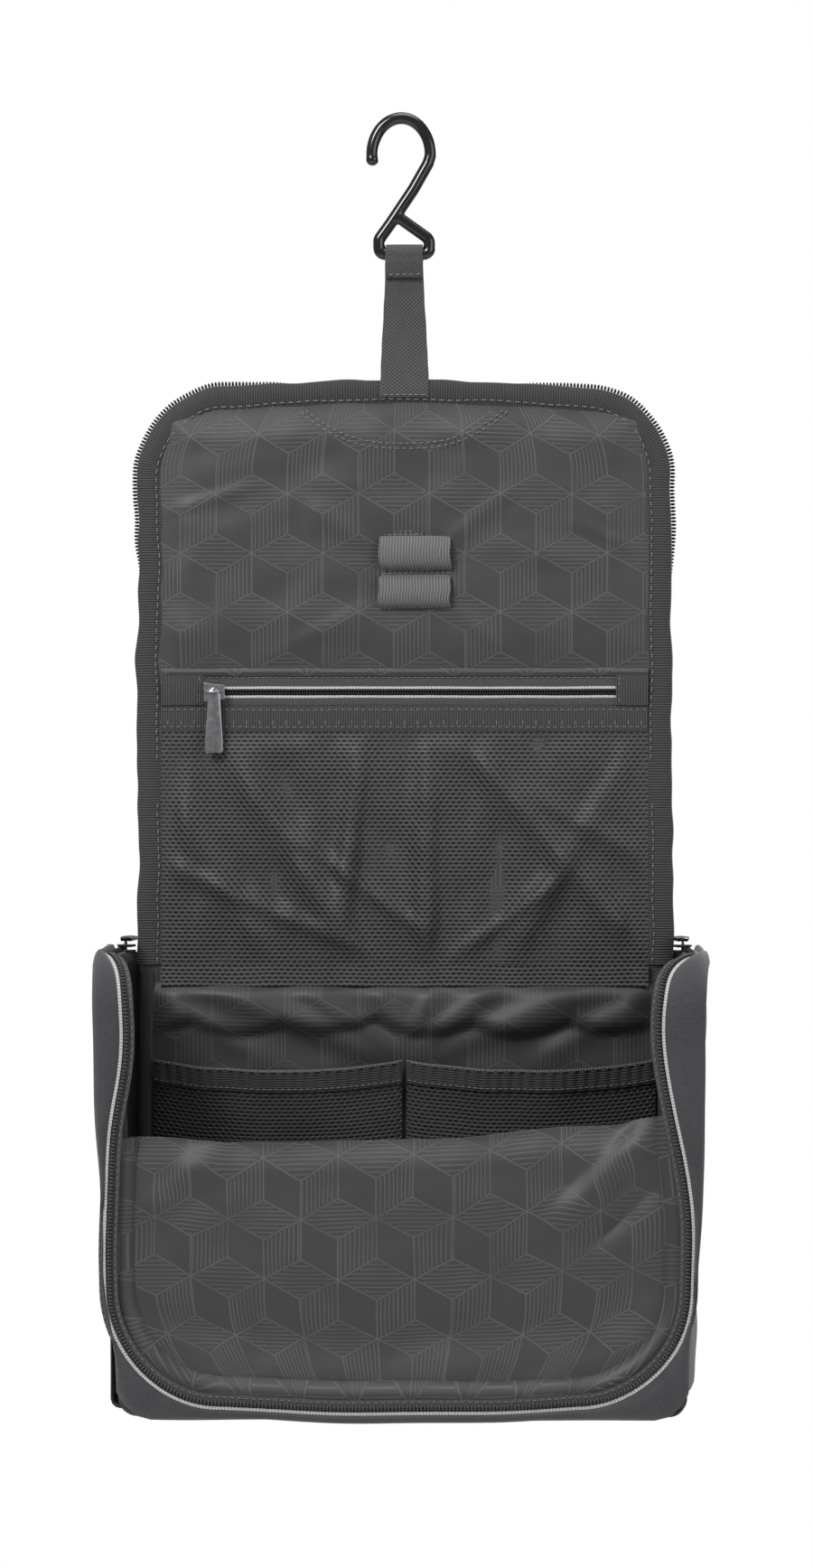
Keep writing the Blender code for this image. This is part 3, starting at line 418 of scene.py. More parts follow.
def makeHoles():  # small staggered holes of a knitted mesh: 1 in a hole
    tree, given, out = newGroup(
        "meshHoles", [("Vector", "Vector", None), ("Wide", "Float", 0.0029), ("High", "Float", 0.0019)],
        [("Hole", "Float"), ("Height", "Float")],
    )
    x, y, _ = parts(tree, given["Vector"])
    row = calc(tree, "DIVIDE", y, given["High"])
    shift = calc(tree, "MULTIPLY", calc(tree, "FLOOR", row), 0.5)
    across = calc(
        tree, "SUBTRACT",
        calc(tree, "FRACT", calc(tree, "ADD", calc(tree, "DIVIDE", x, given["Wide"]), shift)), 0.5
    )
    up = calc(tree, "SUBTRACT", calc(tree, "FRACT", row), 0.5)
    wideSquare = calc(tree, "POWER", calc(tree, "MULTIPLY", across, 1.15), 2.0)
    highSquare = calc(tree, "POWER", calc(tree, "MULTIPLY", up, 1.5), 2.0)
    far = calc(tree, "SQRT", calc(tree, "ADD", wideSquare, highSquare))
    wire(tree, spread(tree, far, 0.26, 0.40, 1.0, 0.0), out["Hole"])
    wire(tree, spread(tree, far, 0.25, 0.62), out["Height"])
    return tree


groups = {"weave": makeWeave(), "ribs": makeRibs(), "print": makePrint(), "holes": makeHoles()}


class Finish:  # one material being put together
    def __init__(self, name, roughness=0.8, **fixed):
        self.material = bpy.data.materials.new(name)
        self.material.use_nodes = True
        self.tree = self.material.node_tree
        self.shader = self.tree.nodes["Principled BSDF"]
        self.shader.inputs["Roughness"].default_value = roughness
        for key, value in fixed.items():
            self.shader.inputs[key].default_value = value
        self.place = self.tree.nodes.new("ShaderNodeTexCoord")

    def group(self, name, vector, **values):
        node = self.tree.nodes.new("ShaderNodeGroup")
        node.node_tree = groups[name]
        self.tree.links.new(vector, node.inputs["Vector"])
        for key, value in values.items():
            node.inputs[key].default_value = value
        return node.outputs

    def bumped(self, height, depth, strength=1.0):
        node = self.tree.nodes.new("ShaderNodeBump")
        node.inputs["Distance"].default_value = depth
        node.inputs["Strength"].default_value = strength
        self.tree.links.new(height, node.inputs["Height"])
        self.tree.links.new(node.outputs[0], self.shader.inputs["Normal"])

    def paint(self, socket, value):
        wire(self.tree, value, self.shader.inputs[socket])


def grey(value, blue=1.03):
    return (value, value, value * blue, 1.0)


def ribbedFinish(name, pitch, low, high, depth, roughness=0.75, fuzz=0.3):
    made = Finish(
        name, roughness, **{"Sheen Weight": 0.15, "Sheen Roughness": 0.5, "Specular IOR Level": 0.25}
    )
    ribs = made.group("ribs", made.place.outputs["UV"], Pitch=pitch, Fuzz=fuzz)
    # colour from the rib shade: painted shade in the grooves, lighter rib tops
    made.paint("Base Color", mixColour(made.tree, ribs["Shade"], grey(low), grey(high)))
    made.bumped(ribs["Height"], depth)
    return made.material


def wovenFinish(name, along, across, low, high, depth, roughness=0.75):
    made = Finish(name, roughness, **{"Sheen Weight": 0.15, "Specular IOR Level": 0.25})
    weave = made.group("weave", made.place.outputs["UV"], Along=along, Across=across, Fuzz=0.4)
    # colour from the weave shade: painted shade between the threads
    made.paint("Base Color", mixColour(made.tree, weave["Shade"], grey(low), grey(high)))
    made.bumped(weave["Height"], depth)
    return made.material


def outerFinish():
    made = Finish(
        "outer_cloth", 0.85, **{"Sheen Weight": 0.2, "Sheen Roughness": 0.6, "Specular IOR Level": 0.2}
    )
    tree, where = made.tree, made.place.outputs["Object"]
    flecks = grain(tree, where, 1500, 2.0, (0.6, 1.0, 1.6))
    cloud = grain(tree, where, 35, 2.0)
    shade = calc(tree, "MULTIPLY_ADD", cloud, 0.35, calc(tree, "MULTIPLY", flecks, 0.65))
    made.paint(
        "Base Color", mixColour(tree, spread(tree, shade, 0.3, 0.7), grey(0.026, 1.1), grey(0.048, 1.1))
    )
    made.bumped(flecks, 0.00025, 0.6)
    return made.material


def liningFinish(name, plane="UV", low=0.036, high=0.075, roughness=0.5):
    made = Finish(name, roughness, **{"Sheen Weight": 0.1, "Specular IOR Level": 0.35})
    tree = made.tree
    where = made.place.outputs["UV" if plane == "UV" else "Object"]
    if plane == "side":
        _, y, z = parts(tree, where)
        joined = tree.nodes.new("ShaderNodeCombineXYZ")
        tree.links.new(y, joined.inputs[0])
        tree.links.new(z, joined.inputs[1])
        where = joined.outputs[0]
    lines = made.group("print", where)["Lines"]
    fibre = grain(tree, where, 900, 2.0)
    cloud = grain(tree, where, 28, 2.0)
    tone = calc(tree, "MULTIPLY_ADD", cloud, 0.25, calc(tree, "MULTIPLY", fibre, 0.2))
    ground = mixColour(tree, tone, grey(low * 0.88, 1.02), grey(low * 1.2, 1.02))
    made.paint(
        "Base Color", mixColour(tree, calc(tree, "MULTIPLY", lines, 0.85), ground, grey(high, 1.0))
    )
    made.paint(
        "Roughness",
        calc(
            tree, "MULTIPLY_ADD", lines, 0.12, calc(tree, "MULTIPLY_ADD", fibre, 0.1, roughness - 0.05)
        )
    )
    made.bumped(fibre, 0.00008, 0.5)
    return made.material


def meshFinish(name, low, high):
    made = Finish(name, 0.48, **{"Sheen Weight": 0.12, "Specular IOR Level": 0.45})
    tree = made.tree
    holes = made.group("holes", made.place.outputs["UV"])
    hair = grain(tree, made.place.outputs["UV"], 1900, 2.0)
    body = mixColour(tree, hair, grey(low), grey(high))
    # the holes are painted near-black and kept partly opaque: painted shade in the holes
    made.paint("Base Color", mixColour(tree, holes["Hole"], body, grey(0.004)))
    made.paint("Alpha", calc(tree, "SUBTRACT", 1.0, calc(tree, "MULTIPLY", holes["Hole"], 0.65)))
    made.bumped(calc(tree, "MULTIPLY_ADD", hair, 0.2, holes["Height"]), 0.0006)
    return made.material


# herringbone tape; stripes are (from, to) across it
def tapeFinish(name, stripes, low=0.03, high=0.062):
    made = Finish(name, 0.8, **{"Sheen Weight": 0.15, "Specular IOR Level": 0.2})
    tree = made.tree
    x, y, _ = parts(tree, made.place.outputs["UV"])
    band = calc(tree, "PINGPONG", y, 0.0009)
    slant = wave(tree, calc(tree, "ADD", x, calc(tree, "MULTIPLY", band, 1.2)), 0.0011)
    hair = grain(tree, made.place.outputs["UV"], 2200, 2.0)
    # the colour follows the herringbone relief: painted shade in its low lines, with random fuzz
    colour = mixColour(
        tree, calc(tree, "MULTIPLY_ADD", hair, 0.3, calc(tree, "MULTIPLY", slant, 0.7)), grey(low),
        grey(high)
    )
    for start, end in stripes:
        middle, half = (start + end) / 2, (end - start) / 2
        off = calc(tree, "ABSOLUTE", calc(tree, "SUBTRACT", y, middle))
        inside = spread(tree, off, half * 0.8, half * 1.1, 1.0, 0.0)
        thread = calc(tree, "MULTIPLY_ADD", wave(tree, x, 0.0014), 0.55, 0.45)
        colour = mixColour(tree, calc(tree, "MULTIPLY", inside, thread), colour, grey(0.62, 1.01))
    made.paint("Base Color", colour)
    made.bumped(slant, 0.0003)
    return made.material


def plainFinish(name, colour, roughness, noiseScale=600, depth=0.0, **fixed):
    made = Finish(name, roughness, **fixed)
    tree = made.tree
    speck = grain(tree, made.place.outputs["Object"], noiseScale, 3.0)
    made.paint("Base Color", mixColour(tree, speck, grey(colour * 0.75), grey(colour * 1.25)))
    made.paint("Roughness", calc(tree, "MULTIPLY_ADD", speck, 0.16, max(0.02, roughness - 0.08)))
    if depth:
        made.bumped(speck, depth, 0.5)
    return made.material


finish = {
    "hook": plainFinish("hook_gloss", 0.004, 0.16, 90, **{"Coat Weight": 0.3, "Coat Roughness": 0.05}),
    "webbing": wovenFinish("webbing_weave", 0.0021, 0.0016, 0.004, 0.078, 0.0008),
    "outer": outerFinish(),
    "lining": liningFinish("lining_print", "UV", 0.036, 0.082),
    # a darker copy of the lining print for the box's inner sides: painted shade
    "liningSideShaded": liningFinish("lining_print_side_shaded", "side", 0.026, 0.05),
    # a darker copy of the lining print for the back lining deep in the box: painted shade
    "liningShaded": liningFinish("lining_print_shaded", "UV", 0.03, 0.062),
    "grosgrain": ribbedFinish("grosgrain_ribs", 0.0012, 0.005, 0.072, 0.0006),
    "band": ribbedFinish("band_ribs", 0.0012, 0.008, 0.085, 0.0006),
    "elastic": ribbedFinish("elastic_ribs", 0.0013, 0.05, 0.2, 0.0006, 0.7),
    # a darker copy of the elastic for the box pockets' bands, whose top edge keeps the lighter elastic:
    # painted shade
    "elasticShaded": ribbedFinish("elastic_ribs_shaded", 0.0011, 0.01, 0.045, 0.0005, 0.7),
    "mesh": meshFinish("mesh_knit", 0.02, 0.062),
    # a darker copy of the mesh for the box pockets deep in the box: painted shade
    "meshShaded": meshFinish("mesh_knit_shaded", 0.01, 0.035),
    "tape": tapeFinish("zip_tape_plain", (), 0.035, 0.1),
    "tapeDark": tapeFinish("seam_tape_dark", (), 0.008, 0.035),
    "stripe": tapeFinish("zip_tape_stripe", ((-1.0, 1.0),), 0.1, 0.2),
    # a lighter copy of the nylon coil for the box's half of the zip: painted light on its teeth
    "coil": plainFinish("coil_nylon", 0.03, 0.35, 800, **{"Specular IOR Level": 0.5}),
    "metal": plainFinish("slider_nickel", 0.30, 0.28, 500, 0.00003, Metallic=1.0),
    # a darker copy of the slider metal, for the main zip's sliders and pulls
    "metalDark": plainFinish("slider_gunmetal", 0.05, 0.25, 500, 0.00003, Metallic=1.0),
    # a darker copy of the same nylon coil, for the lid's half of the zip and the pocket zip: painted
    # shade
    "coilShaded": plainFinish("coil_nylon_shaded", 0.008, 0.5, 800, **{"Specular IOR Level": 0.25}),
    "thread": plainFinish("sewing_thread", 0.15, 0.7, 2500, 0.0001),
}
print("stage 2: finishes made,", len(finish))


# ---- hook: a round rod, bent over a rail's width, with a closed eye for the webbing

hook = {
    "rod": 0.00285, "bend": 0.0136, "bendHeight": 0.0168, "offset": -0.0014, "bar": -0.0605,
    "barHalf": 0.01175, "corner": 0.004, "shoulder": 0.007, "neck": -0.026, "leg": -0.0425,
}


def tube(name, points, radius, resolution=10):
    curve = bpy.data.curves.new(name, "CURVE")
    curve.dimensions = "3D"
    curve.bevel_depth = radius
    curve.bevel_resolution = resolution
    curve.use_fill_caps = True
    line = curve.splines.new("POLY")
    line.points.add(len(points) - 1)
    for i, point in enumerate(points):
        line.points[i].co = (*point, 1)
    obj = bpy.data.objects.new(name, curve)
    bpy.context.scene.collection.objects.link(obj)
    deselectAll()
    obj.select_set(True)
    bpy.context.view_layer.objects.active = obj
    bpy.ops.object.convert(target="MESH")
    return bpy.context.object


def cornered(corner, before, after, radius, steps=8):
    come, leave = (before - corner).normalized(), (after - corner).normalized()
    half = come.angle(leave) / 2
    centre = corner + (come + leave).normalized() * radius / math.sin(half)
    reach = radius / math.tan(half)
    start, end = corner + come * reach - centre, corner + leave * reach - centre
    return [centre + start.slerp(end, i / steps).normalized() * radius for i in range(steps + 1)]


def makeHook():
    top = hook["rod"] - hook["bendHeight"]
    over = []
    for i in range(40):
        t = math.radians(188 - i * 5)
        over.append(Vector((
            hook["offset"] + hook["bend"] * math.cos(t), 0, top + hook["bendHeight"] * math.sin(t)
        )))
    neck = Vector((hook["offset"] + hook["bend"] * 0.7, 0, hook["neck"]))
    left, right = (Vector((side * hook["barHalf"], 0, hook["bar"])) for side in (-1, 1))
    lift = Vector((0, 0, hook["shoulder"]))
    down = (neck.z - hook["leg"]) / (neck.z - left.z - lift.z)
    meet = neck.lerp(left + lift, down)
    path = over + [neck.lerp(left + lift, 0.02)]
    for corner, before, after in (
        (left + lift, neck, left), (left, left + lift, right), (right, left, right + lift),
        (right + lift, right, meet)
    ):
        path += cornered(corner, before, after, hook["corner"] * 0.75)
    path.append(meet)
    smooth = (
        [path[0]]
        + [path[i - 1] * 0.25 + path[i] * 0.5 + path[i + 1] * 0.25 for i in range(1, len(path) - 1)]
        + [path[-1]]
    )
    rod = tube("hook_rod", smooth, hook["rod"])
    deselectAll()
    bpy.ops.mesh.primitive_uv_sphere_add(
        segments=24, ring_count=14, radius=hook["rod"] * 1.08, location=path[0]
    )
    fresh("hook_tip")
    bpy.ops.object.transform_apply(location=True)
    rod.select_set(True)
    bpy.context.view_layer.objects.active = rod
    bpy.ops.object.join()
    applied(rod, "REMESH", mode="VOXEL", voxel_size=0.00045)
    applied(rod, "SMOOTH", factor=0.6, iterations=8)
    return finished(rod, "hook", finish["hook"], "hook_plastic", ("hook",), 180)


makeHook()


# ---- webbing: sewn round the eye's bar, and down over the lid's binding

strap = {
    "thickness": 0.0015, "neckHalf": 0.0086, "endHalf": 0.0113, "tail": -0.0715,
    "foot": level["lidEnd"] - 0.0078, "ring": 0.0039
}


def makeStrap():
    half = strap["thickness"] / 2
    centre = []
    for i in range(40):
        z = strap["foot"] + (hook["bar"] - 0.004 - strap["foot"]) * i / 39
        centre.append(Vector((
            0, 0.0002 + 0.0012 * bump(z, -0.098, 0.02) - 0.0004 * bump(z, strap["foot"], 0.008), z
        )))
    for i in range(1, 15):
        t = math.radians(-20 + i * 15.5)
        centre.append(Vector((
            0, strap["ring"] * math.cos(t), hook["bar"] + strap["ring"] * math.sin(t)
        )))
    for i in range(8):
        share = i / 7
        centre.append(Vector((
            0, -0.0036 + 0.0016 * smoothStep(share, 0, 1),
            hook["bar"] - 0.0035 + (strap["tail"] - hook["bar"] + 0.0035) * share
        )))
    steps = [0.0]
    for a, b in zip(centre, centre[1:]):
        steps.append(steps[-1] + (b - a).length)

    def place(u, v):
        i = round(v * (len(centre) - 1))
        point = centre[i].copy()
        share = smoothStep(hook["bar"] - point.z, -0.004, hook["bar"] - strap["foot"])
        wide = strap["neckHalf"] + (strap["endHalf"] - strap["neckHalf"]) * share
        cup = 0.0008 * (2 * u - 1) ** 2 * (1 - share)
        return point + Vector((
            (2 * u - 1) * wide + 0.0003 * waver(point, 0.008, 1.0),
            cup + waver(point + Vector((u, 0, 0)), 0.012, 0.0003), 0
        ))

    obj = clothGrid("webbing_strap", 16, len(centre) - 1, place, (0.022, steps[-1]))
    thick(obj, strap["thickness"], 0.0)
    applied(obj, "BEVEL", width=0.0003, segments=2, limit_method="ANGLE")
    finished(
        obj, ("strap", "lid_front", (0, 0, -0.110), (0, 0, -0.119)), finish["webbing"], "webbing",
        ("strap_webbing", "strap_end")
    )
    foot = strap["foot"] + 0.0012
    row = [
        Vector((-strap["endHalf"] * 0.9, -half - 0.0006, foot)),
        Vector((strap["endHalf"] * 0.9, -half - 0.0006, foot))
    ]
    high = [
        Vector((-strap["neckHalf"] * 0.9, -0.0031, strap["tail"] + 0.0012)),
        Vector((strap["neckHalf"] * 0.95, -0.0031, strap["tail"] + 0.0016))
    ]
    stitches("strap_stitches", [row], ahead, 0.0022, 0.0008, 0.0006, "lid_front", "webbing")
    stitches("strap_tail_stitches", [high], ahead, 0.0022, 0.0008, 0.0006, "strap", "webbing")


makeStrap()
print("stage 3: hook and strap made")


# ---- lid: lining, mesh pocket and shell in one sheet each

lid = {
    "lining": 0.0024, "puff": 0.0030, "binding": 0.0105, "meshSide": 0.1135,
    "foldStart": (0, 0, level["fold"] + 0.007), "foldEnd": (0, 0, level["fold"] - 0.007),
}
lidFold = ("lid_front", "lid_top", lid["foldStart"], lid["foldEnd"])
lidFoot = level["hinge"] + 0.0006


def lidWidthAt(z, inset=0.0):
    corner = level["corner"] - inset
    high = level["lidEnd"] - level["arch"] - level["corner"]
    rise = min(max(z - high, 0.0), corner * 0.9999)
    return level["lidHalf"] - level["corner"] + math.sqrt(corner**2 - rise**2)


def lidTopAt(x, inset=0.0):
    flat = level["lidHalf"] - level["corner"]
    return level["lidEnd"] - inset - level["arch"] * min(1.0, abs(x) / flat) ** 2


def lidPoint(u, v, inset, foot=lidFoot):
    high = level["lidEnd"] - level["arch"] - inset
    z = foot + (high - foot) * v
    x = (2 * u - 1) * lidWidthAt(z, inset)
    top = lidTopAt(x, inset)
    z += (top - high) * smoothStep(v, 0.75, 1.0)
    return x, z


# (point, out) round the lid, from the left foot over to the right foot
def lidEdge(outward=0.0, depth=0.0, foot=lidFoot, step=0.003):
    half, corner = level["lidHalf"], level["corner"]
    high = level["lidEnd"] - level["arch"] - corner
    left = []
    count = max(2, round((high - foot) / step))
    left += [((-half, foot + (high - foot) * i / count), (-1, 0)) for i in range(count)]
    turns = max(4, round(corner * 1.5 / step))
    for i in range(turns):
        t = i / turns * math.radians(87.5)
        left.append((
            (-half + corner - corner * math.cos(t), high + corner * math.sin(t)),
            (-math.cos(t), math.sin(t))
        ))
    flat = half - corner
    along = max(2, round(flat / step))
    for i in range(along):
        x = -flat * (1 - i / along)
        left.append(((x, level["lidEnd"] - level["arch"] * (x / flat) ** 2), (x / flat * 0.043, 1)))
    middle = [((0.0, level["lidEnd"]), (0, 1))]
    right = [((-x, z), (-a, b)) for (x, z), (a, b) in reversed(left)]
    made = []
    for (x, z), (a, b) in left + middle + right:
        out = Vector((a, 0, b)).normalized()
        made.append((Vector((x, depth, z)) + out * outward, out))
    return made


def edgeWave(point):  # how far the soft edge wanders outwards
    return (
        waver(Vector((point.x, 0, point.z)), 0.016, 0.0011, 3.0)
        + waver(Vector((point.x, 0, point.z)), 0.05, 0.0012, 8.0)
    )


folds = [  # start, end, width and height of the mesh pocket's soft folds
    ((-0.075, -0.302), (-0.020, -0.388), 0.0072, 0.0054),
    ((-0.105, -0.318), (-0.062, -0.390), 0.00576, 0.00297),
    ((-0.020, -0.292), (-0.030, -0.372), 0.00504, 0.00459),
    ((0.012, -0.300), (0.010, -0.385), 0.00576, 0.00513),
    ((0.030, -0.290), (0.105, -0.378), 0.00648, 0.00486),
    ((0.060, -0.312), (0.118, -0.345), 0.00504, 0.0027),
    ((-0.108, -0.345), (-0.020, -0.384), 0.00432, 0.00324),
    ((0.100, -0.300), (0.050, -0.385), 0.00576, 0.00324),
    ((-0.052, -0.330), (0.004, -0.372), 0.0036, 0.00297),
    ((0.070, -0.352), (0.020, -0.390), 0.0036, 0.0027),
]


lidCreases = [
    ((-0.020, -0.226), (-0.075, -0.255), 0.004, 0.0011),
    ((0.022, -0.224), (0.060, -0.258), 0.004, 0.0011),
    ((-0.110, -0.180), (-0.070, -0.168), 0.003, 0.0009),
    ((0.112, -0.200), (0.082, -0.186), 0.003, 0.0009),
    ((0.018, -0.196), (0.050, -0.170), 0.004, 0.0009),
    ((-0.018, -0.196), (-0.044, -0.176), 0.004, 0.0009),
]


def makeLidLining():
    def place(u, v):
        x, z = lidPoint(u, v, 0.0035)
        edge = min(level["lidHalf"] - abs(x), lidTopAt(x) - z)
        side = smoothStep(edge, 0.009, 0.026)
        lower = smoothStep(z, level["zip"] + 0.008, level["zip"] + 0.030)
        loops = bump(z, -0.208, 0.024) * bump(x, 0.0, 0.028)
        puff = lid["puff"] * side * lower * (1 - 0.75 * loops)
        crease = 0.0
        if lower > 0:
            crease = (
                waver((x * 1.2, 0, z * 2.0), 0.034, 0.0011, 1.0)
                + waver((x, 0, z * 1.3), 0.013, 0.0004, 5.0)
            )
            crease += ridges(x, z, lidCreases)
        return Vector((x, lid["lining"] - puff - crease * side * lower, z))

    obj = clothGrid(
        "lid_lining", 150, 180, place, (2 * level["lidHalf"], level["lidEnd"] - level["hinge"])
    )
    thick(obj, 0.0012, 1.0)
    finished(
        obj, lidFold, finish["lining"], "lining_fabric",
        ("lid_front_lining", "lid_front_foam", "lid_top_lining", "lid_top_foam")
    )


def makeLidShell():
    def place(u, v):
        x, z = lidPoint(u, v, 0.002)
        edge = min(level["lidHalf"] - abs(x), lidTopAt(x) - z, z - level["hinge"] + 0.01)
        puff = 0.0018 * smoothStep(edge, 0.002, 0.035)
        return Vector((
            x, 0.0060 + puff + waver((x, 0, z), 0.045, 0.0008, 2.0) * smoothStep(edge, 0.004, 0.02), z
        ))

    obj = clothGrid("lid_shell", 60, 90, place, (0.248, 0.272))
    thick(obj, 0.0009, -1.0)
    mend(obj)
    finished(obj, lidFold, finish["outer"], "outer_fabric", ("lid_front_shell", "lid_top_shell"))


def foldsAt(x, z):
    soft = ridges(x, z, folds)
    return (
        soft + waver((x * 2.4, 0, z * 0.8), 0.030, 0.0026, 4.0) + waver((x, 0, z), 0.014, 0.0007, 9.0)
    )


def makeMeshPocket():
    half, high, low = lid["meshSide"], level["bandFoot"] + 0.0015, lidFoot

    def place(u, v):
        x, z = (2 * u - 1) * half, low + (high - low) * v
        side = smoothStep(half - abs(x), 0.0, 0.012) * smoothStep(high - z, 0.0, 0.012) * (
            0.35 + 0.65 * smoothStep(z - low, 0.0, 0.02)
        )
        rise = foldsAt(x, z)
        return Vector((x, 0.0012 - side * (0.0010 + rise), z))

    obj = clothGrid("lid_mesh_pocket", 150, 80, place, (2 * half, high - low))
    thick(obj, 0.0005, 0.0)
    finished(obj, lidFold, finish["mesh"], "mesh_fabric", ("mesh_pocket_front", "mesh_pocket_top"))
    foot = level["hinge"] - 0.0098

    def flap(u, v):
        x, z = (2 * u - 1) * half, foot + (low - 0.0001 - foot) * v + 0.0005 * waver(
            (u * 9, 0, v), 1.0, 1.0
        )
        rest = 0.35 * (0.0010 + foldsAt(x, low))
        return Vector((x, 0.0011 - rest - 0.0010 * (1 - v), z))

    hem = clothGrid("lid_mesh_hem", 150, 10, flap, (2 * half, low - foot))
    for loop in hem.data.uv_layers[0].data:
        loop.uv.y -= low - foot
    thick(hem, 0.0006, 0.0)
    finished(
        hem, ("lid_top", "box", (0, 0, level["hinge"] + 0.002), (0, 0, level["hinge"] - 0.004)),
        finish["mesh"], "mesh_fabric"
    )


def makeBinding():
    wide, front, back = lid["binding"], 0.0005, 0.0084
    section = [
        (-wide, front + 0.0014), (-wide, front + 0.0006), (-wide * 0.8, front - 0.0001),
        (-wide * 0.45, front - 0.0006),
        (-wide * 0.15, front), (0.0002, front + 0.0012), (0.0007, 0.0044), (0.0002, back - 0.0012),
        (-wide * 0.15, back),
        (-wide * 0.5, back + 0.0003), (-wide, back - 0.0002), (-wide, back - 0.0009),
        (-wide * 0.2, back - 0.0009),
        (-0.0008, back - 0.0016), (-0.0003, 0.0044), (-0.0008, front + 0.0018),
        (-wide * 0.2, front + 0.0009),
    ]
    frames = []
    for point, out in lidEdge(step=0.0022):
        frames.append((point + out * edgeWave(point), out, Vector((0, 1, 0))))
    obj = sweep("lid_binding", frames, section)
    finished(
        obj, lidFold, finish["grosgrain"], "grosgrain",
        ("lid_front_binding", "lid_top_binding_left", "lid_top_binding_right"), 40
    )
    line = [
        p + o * edgeWave(p) for p, o in lidEdge(-wide + 0.0016, -0.00015, foot=level["fold"] + 0.008)
    ]
    stitches("binding_stitches", [line], ahead, 0.0027, 0.0012, 0.0006)
    for name, hand in (("left", -1), ("right", 1)):
        lower = [
            p + o * edgeWave(p) for p,
            o in lidEdge(-wide + 0.0016, -0.00015) if p.z < level["fold"] - 0.008 and p.x * hand > 0
        ]
        stitches("binding_stitches_" + name, [lower], ahead, 0.0027, 0.0012, 0.0006, "lid_top")


makeLidLining()
makeLidShell()
makeMeshPocket()
makeBinding()
print("stage 4: lid sheets made")


# ---- lid: its half of the zip, patch, loops and pocket zip

teeth = {"pitch": 0.0016, "along": 0.00115, "out": 0.0027, "high": 0.0021}


def toothBase(out, high, along=teeth["along"]):
    deselectAll()
    bpy.ops.mesh.primitive_uv_sphere_add(segments=6, ring_count=5, radius=0.5)
    obj = fresh("tooth_base")
    for vert in obj.data.vertices:
        x, y, z = vert.co
        vert.co = Vector((x * along * 1.15, z * out, y * high))
    return obj


def coilAlong(name, points, ups, pitch, out, high, body, replaced, outward):
    base = toothBase(out, high)
    places = []
    for point, along in spaced(points, pitch):
        up = ups(point)
        side = outward(point, along, up)
        places.append((point, along, side, up))
    obj = copies(name, base, places)
    bpy.data.objects.remove(base)
    # the coils here take the darker nylon copy: painted shade
    return finished(obj, body, finish["coilShaded"], "zip_coil", replaced, 80)


def makeLidZip():
    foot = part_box("lid_top_zip_coil_left")[0].z
    frames = [(p + o * edgeWave(p), o, Vector((0, 1, 0))) for p, o in lidEdge(0.0, 0.0, foot)]
    section = [(-0.0073, 0.0087), (-0.0002, 0.0086), (-0.0002, 0.0093), (-0.0073, 0.0093)]
    tape = sweep("lid_zip_tape", frames, section)
    finished(
        tape, lidFold, finish["tape"], "zip_tape",
        ("lid_front_zip_tape", "lid_top_zip_tape_left", "lid_top_zip_tape_right")
    )
    line = []
    for p, o in lidEdge(0.0, 0.0089, foot):
        shown = smoothStep(p.z, -0.215, -0.185) * smoothStep(abs(p.x), 0.045, 0.085)
        line.append(p + o * (edgeWave(p) - 0.0004 + 0.0023 * shown))
    coilAlong(
        "lid_zip_coil", line, lambda p: Vector((0, 1, 0)), teeth["pitch"], teeth["out"], teeth["high"],
        lidFold,
        ("lid_front_zip_coil", "lid_top_zip_coil_left", "lid_top_zip_coil_right"),
        lambda p, along, up: along.cross(up).normalized(),
    )


patch = {"half": 0.049, "high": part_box("half_moon_patch")[1].z, "depth": 0.0185}


def patchFoot(x):
    share = min(1.0, abs(x) / patch["half"])
    return patch["high"] - patch["depth"] * (1 - share**2.6) - 0.0004


def liningDepth(x, z):  # the lining's front face, near the top of the lid
    edge = min(level["lidHalf"] - abs(x), lidTopAt(x) - z)
    return lid["lining"] - lid["puff"] * smoothStep(edge, 0.009, 0.026)


def shellDepth(x, z):
    edge = min(level["lidHalf"] - abs(x), lidTopAt(x) - z)
    return 0.0072 + 0.0018 * smoothStep(edge, 0.002, 0.035) + waver((x, 0, z), 0.045, 0.0008, 2.0)


def makePatch():  # the patch lies behind the lid; its two rows of stitches show in front
    def place(u, v):
        x = (2 * u - 1) * patch["half"]
        low = patchFoot(x)
        z = low + (patch["high"] + 0.001 - low) * v
        return Vector((x, shellDepth(x, z), z))

    obj = clothGrid("half_moon", 60, 16, place, (0.098, 0.0185))
    thick(obj, 0.0007, 0.0)
    finished(obj, "lid_front", finish["outer"], "outer_fabric", ("half_moon_patch",))
    lines = []
    for rise in (0.0008, 0.0032):
        line = []
        for i in range(61):
            x = (i / 30 - 1) * (patch["half"] - rise * 0.8)
            z = patchFoot(x) + rise
            line.append(Vector((x, liningDepth(x, z) - 0.0022, z)))
        lines.append(line)
    stitches("half_moon_stitches", lines, ahead, 0.0022, 0.0010, 0.0005)


loops = {
    "low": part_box("toothbrush_loops")[0], "high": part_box("toothbrush_loops")[1], "rise": 0.0068,
    "sewn": 0.003
}


